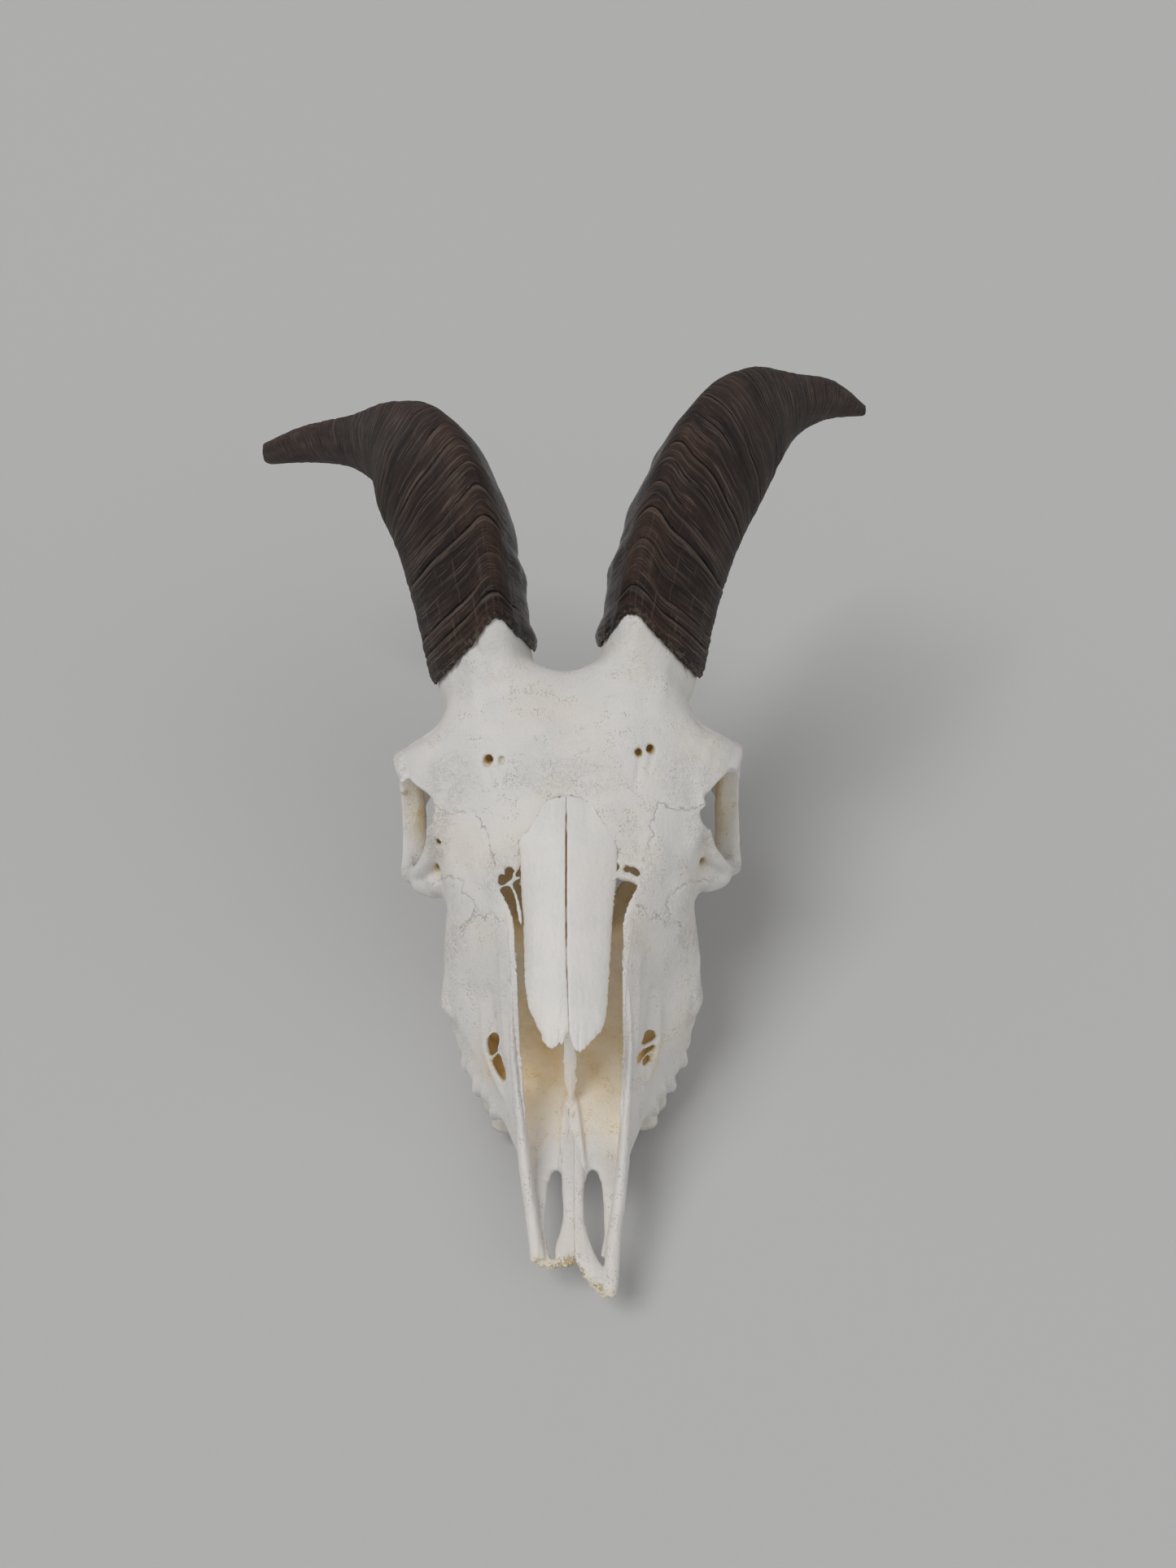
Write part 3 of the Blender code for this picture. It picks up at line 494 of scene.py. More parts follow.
# %% [markdown]
# The rims of the eye sockets are rings. The cheek arch leaves the face below the eye and
# comes back to the braincase above the jaw joint. Rods with an oval section give both.

# %% Rims of the eye sockets and cheek arches
# The stops of every rod are (from the midline, back, height, half height, half width).
def eyes_and_cheeks():
    """The rims, the arches and the swellings where they spring from the face."""
    orbit_rim = (
        (46.5, 140.5, 91, 2.6, 3.2), (54, 149.5, 92.8, 2.4, 3.2), (59, 161.5, 91.5, 2.6, 3.2),
        (59.4, 171, 88, 2.2, 4.6), (59.4, 175, 77, 2, 4.9), (59.2, 170, 63.5, 2, 4.9),
        (58.8, 157, 53.4, 2, 5), (58.8, 144, 52.2, 1.6, 4.2), (54, 136, 62, 2.6, 4),
        (48.6, 134, 74, 2.8, 3.2), (46.4, 136, 84, 2.6, 3),
    )
    forms = both_sides(rod(orbit_rim, ring_centre=(55, 153, 75)))
    cheek = (
        (39, 116, 54, 9, 3.5), (40.5, 126, 57, 8, 3.5), (45, 133, 60, 6.5, 3.2),
        (53, 139, 57.4, 4.2, 3), (59.6, 147, 52.2, 2.6, 2.6), (60.5, 158, 51.8, 3.6, 2.4),
        (60.5, 170, 53.5, 4.6, 2.3), (57, 186, 55, 4.4, 2.6), (50, 198, 57, 5, 3.2),
        (38, 206, 59, 6.5, 4.5),
    )
    forms += both_sides(rod(cheek))
    forms += both_sides(blob((43, 199, 53), (12, 8, 4.5)))
    forms += both_sides(blob((49, 135, 59), (9, 5, 6), pitch=20))
    forms += both_sides(blob((44, 133, 62), (7, 6, 6)))
    cheek_root = (
        (50, 199, 57, 4.5, 3.2), (43, 206, 60, 5, 4.5), (37, 213, 61, 4, 5), (33, 221, 60, 3, 4),
    )
    forms += both_sides(rod(cheek_root))
    return forms


print("forms of the eyes and cheeks:", len(eyes_and_cheeks()))

# %% [markdown]
# At the back sit the two condyles that carried the head, and beside them two long pointed
# processes. A crest runs round the nape, and under it lie the bubbles of the ears. None of
# this shows in the photo, so it follows the build of any goat's skull.

# %% Back of the head
def back_of_the_head():
    """Condyles, base, processes, ear bubbles, ear tubes and the crest of the nape."""
    condyle = (
        (5, 240, 29, 4, 5), (11, 244.5, 31.5, 5.5, 6), (15.5, 245, 37.5, 6.5, 6.5),
        (18, 241, 45, 5.5, 5.5), (17.5, 235, 50, 3.5, 3.5),
    )
    forms = both_sides(rod(condyle, aim=(1, 0, 0)))
    base = (
        (0, 243, 32, 4, 9), (0, 225, 31, 5.5, 11), (0, 205, 35, 8, 9), (0, 188, 42, 8, 7),
        (0, 160, 52, 8, 6),
    )
    forms.append(rod(base))
    process = (
        (28, 230, 48, 5, 7), (29, 230, 34, 3.4, 6), (28, 229.5, 20, 2.6, 5),
        (27, 228.5, 8, 2.2, 3.6), (26.5, 228, 1.6, 1.8, 2.4),
    )
    forms += both_sides(rod(process, aim=(1, 0, 0)))
    forms += both_sides(blob((22, 211, 27), (8.5, 12.5, 11)))
    forms += both_sides(blob((19, 199, 24), (3, 8, 3), pitch=-25))
    ear = ((28, 212, 42, 7, 7), (36, 215, 46, 6, 6), (41, 216.5, 48, 5.2, 5.2))
    forms += both_sides(rod(ear))
    crest = (
        (0, 233, 70, 2.8, 2.8), (12, 232, 69.5, 2.8, 2.6), (23, 229, 65.5, 2.8, 2.4),
        (31, 225.5, 58, 2.6, 2.2), (36, 222.5, 48, 2.4, 2.2),
    )
    forms += both_sides(rod(crest))
    nape_knob = ((0, 235, 67, 3.2, 4.5), (0, 240, 60, 2, 2.2), (0, 241, 53, 1.6, 1.4))
    forms.append(rod(nape_knob, aim=(0, 1, 0)))
    return forms


print("forms of the back:", len(back_of_the_head()))

# %% [markdown]
# Behind the palate two thin upright wings frame the way to the throat, and with them the
# outside is complete. The hollows are melted into a second lump and cut out in one go.

# %% Wings behind the palate, and the hollows
def palate_wings():
    """The plate on each side of the airway, and its hook."""
    wing = (
        (12, 128, 32, 7, 1.6), (12.5, 140, 36, 10, 1.6), (12.5, 152, 36, 12, 1.6),
        (12.5, 163, 38, 12, 1.6), (12, 173, 42, 8, 2),
    )
    hook = ((12.5, 160, 30, 2.4, 1.6), (13, 163, 23, 1.8, 1.4), (13.5, 166, 18, 1.3, 1.2))
    return both_sides(rod(wing)) + both_sides(rod(hook, aim=(0, 1, 0)))


def cranium_masses():
    """The closed bodies that melt together into the outside of the cranium."""
    bodies = [mass(FACE), mass(FOREHEAD), mass(BRAINCASE)]
    return bodies + eyes_and_cheeks() + back_of_the_head() + palate_wings()


def cranium_hollows():
    """What is taken out: nose, eye sockets, brain space, throat and ear openings."""
    eye_socket = blob((60, 154.5, 74.5), (39, 18, 17))
    brain_space = blob((0, 207, 66.5), (29, 29, 18), pitch=32)
    foramen = rod(((0, 222, 57, 9, 10), (0, 236, 46, 9, 10), (0, 256, 39, 9.5, 10.5)))
    ear_opening = blob((46, 216.5, 48), (9, 3.2, 3.2))
    airway = rod((
        (0, 134, 34, 6, 9), (0, 146, 38, 8, 9.5), (0, 160, 38, 9, 9.5), (0, 178, 28, 8, 9),
    ))
    palate_end = rod(((0, 124, 24, 8, 6), (0, 132, 24, 10, 12), (0, 146, 22, 12, 13)))
    slit_end = blob((6, 38, 18), (2.5, 5, 5))
    brow_notch = blob((51.5, 138.5, 86.5), (3.6, 3.2, 3.4))
    forms = [mass(NOSTRIL)] + both_sides(eye_socket) + [brain_space, foramen]
    forms += both_sides(ear_opening) + [airway, palate_end]
    return forms + both_sides(slit_end) + both_sides(brow_notch)


# Size of the cells in which things are melted, in millimetres.
COARSE = 1.0
FINE = 0.7
SMALL = 0.5
clay = melt(gather("clay", cranium_masses()), COARSE)
hollows = melt(gather("hollows", cranium_hollows()), COARSE)
print("clay:", len(clay.data.polygons), "faces; hollows:", len(hollows.data.polygons))
combine(clay, hollows, "DIFFERENCE")
print("cut:", len(clay.data.polygons), "faces")

# %% [markdown]
# Small openings and thin bars are put where the picture shows them: a ray runs from the
# camera through a point of the picture and stops at the bone. From there the helpers make
# plugs, which are cut out later, and bars, which are added.

# %% Rays from the camera to the bone
def tree_of(shape):
    """The skin of an object, ready to be hit by rays."""
    return BVHTree.FromObject(shape, bpy.context.evaluated_depsgraph_get())


def seen_at(tree, u, v):
    """Place and normal of the bone that the picture shows at a point."""
    place, normal, _, _ = tree.ray_cast(EYE, sight_line(u, v))
    return place, normal


def bore(tree, u, v, radius, slant, depth=6.0, wide=1.0):
    """A round plug through the skin at a point of the picture, leaning back by slant."""
    place, normal = seen_at(tree, u, v)
    into = (-normal + Vector(slant)).normalized()
    outside = 4  # how far over the skin the plug starts, in millimetres
    start = place - into * outside
    stops = [
        (*(start + into * way), radius * share, radius * share * wide)
        for way, share in ((0, 1.3), (outside, 1.1), (outside + depth * 0.5, 0.9),
                           (outside + depth, 0.6))
    ]
    return rod(stops, aim=(0, 1, 0.2), around=12, steps=3)


def punch(tree, outline, depth, shift):
    """A plug through the skin whose outline is given by points of the picture. It starts 5 mm
    outside, and narrows and moves by shift down to its depth."""
    spots = [seen_at(tree, u, v)[0] for u, v in glide(outline, 3, closed=True)]
    middle = sum(spots, Vector()) / len(spots)
    rings = []
    stages = ((-5, 0, 1.0), (0, 0, 1.0), (0.6 * depth, 0.6, 0.96), (depth, 1.0, 0.84))
    for step, sunk, share in stages:
        ring = []
        for spot in spots:
            line = (spot - EYE).normalized()
            ring.append(middle + (spot - middle) * share + line * step + Vector(shift) * sunk)
        rings.append(ring)
    return loft(rings)


def window(outline, near, far):
    """A plug that follows the rays through an outline of the picture, from one distance back
    to another."""
    lines = [sight_line(u, v) for u, v in glide(outline, 3, closed=True)]
    return loft([[EYE + line * ((y - EYE.y) / line.y) for line in lines]
                 for y in (near, (near + far) / 2, far)])


def strand(tree, points):
    """A thin bar of bone under points of the picture. After each point stand its half width
    and how far it lies under the old skin, which is 1 mm if left out."""
    stops = []
    for u, v, size, *sunk in points:
        place, _ = seen_at(tree, u, v)
        line = (place - EYE).normalized()
        stops.append((*(place + line * (sunk[0] if sunk else 1.0)), size, size))
    return rod(stops, aim=(0, 0.5, 1), around=8, steps=5)

# %% [markdown]
# A thin upright plate halves the nose. Its top has weathered to a wavy strip, and ridges fan
# out from its foot. Thin scrolls of bone hang from the side walls. All are flat rods.

# %% Partition and scrolls of the nose
def nose_partition():
    """Upright plate along the middle of the nose, its wavy top strip, and four thin ridges
    that run out from its foot in front."""
    plate = (
        (-0.9, 64, 23.5, 2.5, 0.6), (-0.9, 68, 27, 5, 0.7), (-0.8, 80, 35, 10, 0.8),
        (-0.6, 100, 43, 17, 1), (0, 122, 54, 22, 1.2), (0, 146, 64, 22, 1.8),
    )
    strip = (
        (-1, 62.6, 24.4, 0.6, 0.7), (-1, 64.6, 26.6, 0.7, 1.5), (-0.9, 66.4, 29.8, 0.7, 2.1),
        (-0.9, 68.2, 33, 0.8, 2.8), (-1, 69.8, 35.8, 0.8, 2.3), (-0.8, 71.2, 38.6, 0.8, 3),
        (-0.9, 73.4, 41.4, 0.8, 2.5), (-0.7, 78, 45.4, 0.9, 2.9), (-0.7, 88, 52.5, 1, 2.6),
        (-0.6, 102, 61, 1.2, 2.4), (0, 122, 75, 1.4, 2.4),
    )
    left_ridge = (
        (0, 67.5, 26, 1.4, 0.5), (0.9, 64, 24.7, 1.5, 0.55), (1.8, 57, 24, 1.5, 0.6),
        (2.8, 48, 23.2, 1.5, 0.6), (3.4, 41.5, 22.2, 1.3, 0.55),
    )
    right_ridge = (
        (-2, 67.5, 26, 1.4, 0.5), (-3, 64, 24.7, 1.5, 0.55), (-3.7, 57, 24, 1.5, 0.6),
        (-4.3, 48, 23.2, 1.5, 0.6), (-4.7, 41.5, 22.2, 1.3, 0.55),
    )
    keel = (
        (-1.3, 62, 24.2, 1, 0.5), (-2.2, 57, 23.8, 1.1, 0.8), (-2.4, 50, 23.2, 1.1, 0.9),
        (-2.2, 43, 22.4, 1.1, 1),
    )
    other_keel = (
        (-0.7, 62, 24.2, 1, 0.4), (0.3, 57, 23.8, 1.1, 0.7), (0.9, 50, 23.2, 1.1, 0.8),
        (1.2, 43, 22.4, 1.1, 0.9),
    )
    forms = [rod(plate), rod(strip, around=12)]
    forms += [rod(stops, around=8) for stops in (left_ridge, right_ridge, keel, other_keel)]
    return forms


def nose_scrolls():
    """Thin scrolls of bone on the side walls of the nose, behind its opening."""
    upper = (
        (13.5, 80, 62, 5.5, 1), (13, 92, 69, 7, 1.3), (13.5, 106, 74, 8, 1.6),
        (13, 120, 77, 8, 2.2), (10, 134, 79, 8, 3.5),
    )
    lower = (
        (13.5, 74, 38, 4, 1.2), (14.5, 88, 42, 6, 2), (15, 104, 46, 7, 2.6),
        (13, 120, 50, 7, 3), (9, 134, 54, 7, 3),
    )
    sieve = ((6, 118, 66, 9, 1.0), (6.5, 130, 70, 11, 1.2), (6, 142, 72, 10, 1.6))
    forms = []
    for stops in (upper, lower, sieve):
        forms += both_sides(rod(stops, around=12))
    return forms


print("partition forms:", len(nose_partition()), "scrolls:", len(nose_scrolls()))

# %% [markdown]
# Nerves leave the skull through small openings: two above each eye, one in each cheek, and
# others that the photo doesn't show. In front of each eye the thin bone has broken out, so
# that one looks through to the table. Plugs for all of these are cut out in one go.

# %% Bore the nerve openings
combine(clay, melt(gather("partition", nose_partition()), SMALL), "UNION")
skin_tree = tree_of(clay)
BROW_HOLES = (  # point of the picture, radius, how wide for its height
    (599, 934, 1.8, 1), (615.5, 934, 1.3, 0.8), (785, 925, 1.5, 1), (800, 921, 1.6, 1),
)
holes = []
for u, v, radius, wide in BROW_HOLES:
    holes.append(bore(skin_tree, u, v, radius, (0, 0.9, 0), wide=wide))
CHEEK_HOLES = (
    ((607, 1272.6), (600, 1276), (598, 1284), (600.5, 1298), (607, 1313.6), (615.7, 1327.5),
     (622, 1331), (620.8, 1316), (618, 1298), (613.7, 1284.5), (612, 1275.6)),
    ((800, 1268), (793, 1272), (786, 1288), (783, 1295), (782.5, 1312), (784, 1322),
     (789, 1317), (794, 1308), (803, 1301), (806, 1284), (806.5, 1272)),
)
for outline in CHEEK_HOLES:
    holes.append(punch(skin_tree, outline, 8.0, shift=(0, 3, -1)))
    u, v = outline[0]
    holes.append(bore(skin_tree, u, v + 12, 1.9, (0, 3.0, 0), depth=17))
# The opening of the tear duct at the right eye.
holes.append(bore(skin_tree, 537, 1036, 1.3, (0, 1.0, -0.4), depth=8))
NOTCH_FRONT = 126  # distances back between which the notches are cut
NOTCH_BACK = 154
ORBIT_NOTCHES = (
    ((496, 946), (500, 953), (507, 962), (514, 968), (521, 972), (529, 978), (534.5, 983),
     (535, 990), (534.5, 998), (531, 1004), (532.5, 1010), (529, 1014), (523.5, 1019),
     (512, 1016), (500, 1000), (494, 970)),
    ((908, 933), (899, 942), (890, 953), (881, 962), (871, 972), (863, 978), (867, 990),
     (860, 995), (861, 1006), (866, 1016), (875, 1020), (890, 1015), (903, 1000), (909, 960)),
)
holes += [window(outline, NOTCH_FRONT, NOTCH_BACK) for outline in ORBIT_NOTCHES]
# Hidden canals, by their ends (from the midline, back, height, radius): two in the eye
# socket and one in the palate. Then the centres and radii of two pits in the base.
CANALS = (
    ((30, 150, 74, 2), (16, 166, 72, 2.4)), ((30, 163, 66, 3), (14, 178, 62, 3)),
    ((22, 118, 26, 2), (20, 112, 18, 1.8)),
)
BASE_PITS = (((22, 224, 27), (2.4, 2.4, 3.2)), ((13, 234, 33), (1.4, 3, 1.4)))
for side in (1, -1):
    for ends in CANALS:
        stops = [(side * x, y, z, radius, radius) for x, y, z, radius in ends]
        holes.append(rod(stops, steps=2))
    for (x, y, z), radii in BASE_PITS:
        holes.append(blob((side * x, y, z), radii))
combine(clay, melt(gather("holes", holes), SMALL), "DIFFERENCE")
print("bored:", len(clay.data.polygons), "faces")

# %% [markdown]
# At the upper ends of the gaps beside the nasal bones the bone has weathered to a web of
# thin bars and teeth, and bars cross the openings of the cheeks. Each is a chain of points
# of the picture. The horn cores and the scrolls are added with them.

# %% Struts and splinters in the gaps
whole_face = gather("whole_face", [mass(FACE), mass(FOREHEAD)])
face_tree = tree_of(whole_face)
bpy.data.objects.remove(whole_face)
STRANDS = (
    # beside the right nasal bone (on the left in the picture)
    ((614.5, 1066, 0.5), (612, 1078, 0.55), (610, 1091, 0.8)),
    ((610, 1090, 0.9), (618, 1089, 0.6), (627, 1084, 0.7), (640, 1078, 0.8)),
    ((630, 1082, 0.7), (632, 1070, 0.6), (629, 1061, 0.7)),
    ((610, 1092, 0.7), (615, 1100, 0.5), (618, 1108, 0.4)),
    ((626, 1086, 0.7), (633, 1098, 0.7, 1.6), (637, 1115, 0.8, 1.6), (640, 1136, 0.6, 1.6)),
    # beside the left nasal bone
    ((753, 1084, 0.6), (757, 1076, 0.8), (764, 1067, 0.7, 2), (768, 1058, 0.6, 1.4)),
    ((756, 1078, 0.6), (765, 1078, 1.4, 2.2), (776, 1079, 1.6, 2.2), (788, 1090, 0.9),
     (790, 1098, 0.5)),
    ((764, 1070, 0.6, 2.2), (767, 1077, 1.2, 2.2)),
    ((754, 1103, 0.75, 0.4), (755, 1112, 0.8, 0.4), (754, 1124, 0.7, 0.4), (750, 1142, 0.6, 0.4)),
    # across the right nerve opening
    ((598, 1303, 0.7, 2.2), (604, 1300, 0.58, 2.2), (610, 1295, 0.58, 2.2), (613, 1288, 0.6, 2),
     (615, 1280, 0.8, 1.6)),
    ((613, 1289, 0.55, 2.2), (616, 1298, 0.55, 2.2), (621, 1309, 0.7, 1.8)),
    # across the left nerve opening
    ((780, 1296, 0.8, 2.2), (788, 1289, 0.8, 2), (796, 1284, 0.9, 2), (808, 1278, 0.8, 2)),
    ((781, 1313, 0.8, 2.4), (788, 1304, 0.6, 2.4), (795, 1295, 0.6, 2.4), (807, 1288, 0.8, 2)),
    ((795, 1295, 0.55, 2.8), (799, 1301, 0.55, 2.8), (804, 1306, 0.7, 2.4)),
    ((785, 1308, 0.55, 2.8), (793, 1312, 0.7, 2.4)),
)
struts = [strand(face_tree, points) for points in STRANDS]
TEETH_OF_GAP = (
    (611, 1068), (615, 1064), (619, 1069), (630, 1058), (634, 1063), (637, 1066),
    (760, 1062), (764, 1064), (773, 1062), (779, 1066), (785, 1067), (789, 1070),
)
for k, (u, v) in enumerate(TEETH_OF_GAP):
    tip = (u + 1 - k % 2, v + 1 + 3 * (k % 3), 0.35)
    struts.append(strand(face_tree, ((u - 1, v - 9, 0.9), (u, v - 2, 0.7), tip)))
# Beads on the outer edge of the bar behind the right eye.
BEADS = ((494.5, 926), (494, 932), (494, 939), (494.5, 950), (495, 959), (495.5, 972))
for u, v in BEADS:
    place, _ = seen_at(skin_tree, u, v)
    if place is not None:
        struts.append(blob(place, (1.3, 1.3, 1.1)))
for side, sign in SIDES:
    struts.append(horn_core(side, sign))
struts += nose_scrolls()
print("struts:", len(struts))

# %% [markdown]
# Now the whole is melted once more on a finer grid and relaxed, which rounds every cut edge
# as real bone is rounded.

# %% Melt finely
parts = gather("struts", struts)
with_struts = bmesh.new()
with_struts.from_mesh(clay.data)
with_struts.from_mesh(parts.data)
with_struts.to_mesh(clay.data)
with_struts.free()
bpy.data.objects.remove(parts)
cranium = keep_largest(melt(clay, FINE, relax=2))
cranium.name = "cranium_bone"
print("fine:", len(cranium.data.polygons), "faces")

# %% [markdown]
# Where two lumps met, a sharp valley is left. Every corner there is drawn towards the middle
# of its neighbours, over and over, as a wet finger smooths a seam in clay. The edges of the
# gaps and of the brow's openings stay crisp.

# %% Smooth where the lumps met
def neighbours(shape):
    """The two ends of every edge, and how many edges meet in each corner."""
    edges = np.empty(len(shape.data.edges) * 2, int)
    shape.data.edges.foreach_get("vertices", edges)
    one, two = edges.reshape(-1, 2).T
    count = np.bincount(one, minlength=len(shape.data.vertices))
    return one, two, count + np.bincount(two, minlength=len(count))


def soften(shape, share, rounds):
    """Draw each corner to the middle of its neighbours by its share, again and again."""
    one, two, count = neighbours(shape)
    places = corners(shape)
    for _ in range(rounds):
        mean = np.empty_like(places)
        for axis in range(3):
            total = np.bincount(one, places[two, axis], len(places))
            mean[:, axis] = (total + np.bincount(two, places[one, axis], len(places))) / count
        places += (mean - places) * share[:, None]
    put_corners(shape, places)


def round_spot(places, centre, radii):
    """1 in the middle of an egg-shaped region, falling to 0 outside it."""
    gap = (places - np.array(centre)) / np.array(radii)
    return np.clip(1.5 - (gap ** 2).sum(axis=1), 0, 1)


JOINS = (  # centre and radii of each valley, on both sides of the midline
    ((27, 168, 110), (26, 20, 14)), ((40, 186, 104), (12, 18, 14)),
    ((12, 186, 112), (14, 22, 14)), ((26, 204, 97), (22, 16, 10)),
    ((27, 177, 122), (20, 13, 12)), ((38, 199, 92), (16, 22, 18)),
    ((30, 207, 100), (24, 20, 14)),
    ((24, 122, 92), (26, 7, 14)), ((38, 118, 68), (9, 14, 16)),
)
places = corners(cranium)
joins = np.zeros(len(places))
for side in (1, -1):
    for (x, y, z), radii in JOINS:
        joins = np.maximum(joins, round_spot(places, (side * x, y, z), radii))
edge_of_gap = (np.abs(places[:, 0]) < 24) & (places[:, 1] > 88) & (places[:, 1] < 121)
joins[edge_of_gap & (places[:, 2] > 74)] = 0
for u, v, *_ in BROW_HOLES:
    opening = np.array(seen_at(face_tree, u, v)[0])
    joins *= np.clip((np.linalg.norm(places - opening, axis=1) - 5) / 4, 0, 1)
soften(cranium, joins * 0.9, rounds=45)
print("softened", int((joins > 0.3).sum()), "corners")

# %% [markdown]
# Sutures are the wavy lines along which the bones of the skull grew together. They are read
# off the picture point by point and laid on the bone by rays.

# %% Lines on the bone
def trace(tree, points, steps=8):
    """A smooth line on the bone through points of the picture."""
    line = []
    for u, v in glide(points, steps):
        place, _ = seen_at(tree, u, v)
        if place is not None:
            line.append(place)
    return line


skin_tree = tree_of(cranium)
SUTURES_SEEN = (
    ((697, 996), (697, 990), (700, 985), (704, 980), (699, 978), (697, 984), (690, 986), (682, 984),
     (674, 984), (666, 994), (661, 1008), (652, 1022), (645, 1031), (639, 1034), (638, 1043),
     (640, 1046), (636, 1050)),
    ((704, 982), (714, 984), (724, 988), (731, 995), (735, 1008), (742, 1018), (748, 1026),
     (756, 1038), (757, 1045), (762, 1048)),
    ((583, 995), (590, 1008), (592, 1015), (599, 1024), (603, 1034), (602, 1042), (606, 1052),
     (610, 1065)),
    ((610, 1130), (602, 1122), (596, 1130), (588, 1124), (580, 1134), (572, 1132), (566, 1140)),
    ((808, 985), (804, 1000), (800, 1014), (803, 1022), (799, 1034), (797, 1045), (793, 1056)),
    ((528, 985), (540, 992), (552, 1001), (562, 997), (572, 1000), (583, 995)),
    ((868, 985), (852, 994), (838, 996), (824, 992), (808, 985)),
    ((530, 1088), (545, 1080), (556, 1078), (568, 1084), (566, 1094), (576, 1102), (583, 1114),
     (580, 1124), (574, 1134), (570, 1146)),
    ((872, 1082), (856, 1082), (842, 1087), (828, 1098), (820, 1107), (822, 1118), (828, 1128),
     (836, 1138)),
    ((836, 1138), (826, 1126), (818, 1134), (808, 1124), (800, 1130), (792, 1118), (785, 1114)),
)
RIMS_SEEN = (
    ((624, 1150), (628, 1200), (630, 1250), (632, 1300), (634, 1340), (633, 1380)),
    ((777, 1150), (771, 1200), (769, 1250), (768, 1300), (766, 1340), (768, 1380)),
)
sutures = [trace(skin_tree, points) for points in SUTURES_SEEN]
rims = [trace(skin_tree, points) for points in RIMS_SEEN]
print("suture points:", sum(map(len, sutures)))

# %% [markdown]
# Relief and colour both follow these lines, so each corner of the skin has to know how far
# it lies from the nearest one, and on which side.

# %% Distance from the lines
BATCH = 20000  # corners that are compared with a line at a time, to spare memory


def distance_to(places, normals, line, reach):
    """Signed distance of every place from a line on the skin; the sign tells on which side
    of the line it lies. Places farther than reach are left at reach."""
    line = np.array([tuple(p) for p in line])
    found = np.full(len(places), float(reach))
    low, high = line.min(axis=0) - reach, line.max(axis=0) + reach
    near = np.nonzero(((places > low) & (places < high)).all(axis=1))[0]
    ahead = np.gradient(line, axis=0)
    for start in range(0, len(near), BATCH):
        part = near[start:start + BATCH]
        gap = places[part][:, None, :] - line[None, :, :]
        far = np.einsum("ijk,ijk->ij", gap, gap)
        best = far.argmin(axis=1)
        away = gap[np.arange(len(part)), best]
        turn = (np.cross(ahead[best], away) * normals[part]).sum(axis=1)
        found[part] = np.minimum(np.sqrt(far.min(axis=1)), reach) * np.where(turn < 0, -1, 1)
    return found


def nearest_line(places, normals, lines, reach=6.0):
    """The signed distance from the nearest of several lines."""
    found = np.full(len(places), float(reach))
    for line in lines:
        away = distance_to(places, normals, line, reach)
        closer = np.abs(away) < np.abs(found)
        found[closer] = away[closer]
    return found

# %% [markdown]
# The forehead has to meet the two nasal bones, so their outline comes before its relief. Each
# table runs from the point behind to the front, and the two sides differ as in the photo.

# %% Outline of the nasal bones
NASAL_TOP = (  # distance back, height over the midline
    (132.6, 103.2), (130.5, 102.4), (127, 100.9), (122, 98.8), (116, 95.8), (110, 93),
    (102, 89.2), (92, 84.6), (80, 79), (70, 74.4), (63, 71.2), (56, 68.1),
)
NASAL_SIDE = {  # distance back, distance of the side edge from the midline
    "left": ((133.4, 1.8), (132.6, 3.6), (131.2, 6.2), (129.0, 9.0), (126.1, 10.6), (122.8, 13.9),
             (119.3, 16.2), (116.3, 16.3), (109.3, 15.8), (98.8, 14.4), (88.7, 13.5), (79, 12.6),
             (69, 11.6), (65, 10.6), (62, 9.4), (56, 9)),
    "right": ((133.8, 2.6), (132.8, 4.4), (131.2, 6.6), (129.4, 8.6), (126.4, 10.2), (122.4, 13.6),
              (121, 16), (119.2, 16.4), (117, 15.7), (110, 15.7), (99.7, 15.1), (89.7, 14.6),
              (78.6, 14.3), (71, 13.1), (66.4, 11), (62, 8.9), (56, 8.3)),
}


def read_off(table, ys):
    """Values of a table of (distance back, value) at several distances."""
    back, value = np.array(table, float).T
    return np.interp(-ys, -back, value)


def flush_share(ys):
    """0 where the nasal bones stand above the face, 1 where they lie flush with the brow."""
    return np.clip((ys - 112) / 17, 0, 1)


def nasal_height(x, ys):
    """Height of the top of a nasal bone at a distance from the midline. The bone is arched
    across: 15 mm out it lies 4.6 mm lower in front, and 0.9 mm where it is flush."""
    return read_off(NASAL_TOP, ys) - (4.6 - 3.7 * flush_share(ys)) * (x / 15.0) ** 2

# %% [markdown]
# Relief is made by lifting each corner along its normal. A suture is a groove between two low
# uneven ridges. Nerves and vessels lie in grooves, and the roots of the cheek teeth push the
# jaw out in swellings.

# %% What the relief of the cranium is made of
def bump(places, centre, size, height, stretch):
    """A soft swelling (or dimple, with a negative height) round a centre."""
    gap = (places - np.array(centre)) / (np.array(stretch) * size)
    return height * np.exp(-(gap ** 2).sum(axis=1))


def wave(places, size, seed=0.0):
    """Soft noise between about -1 and 1, with features of the given size."""
    shift = Vector((seed, seed * 1.7, -seed))
    return np.array([noise.noise(Vector(place) / size + shift) for place in places])


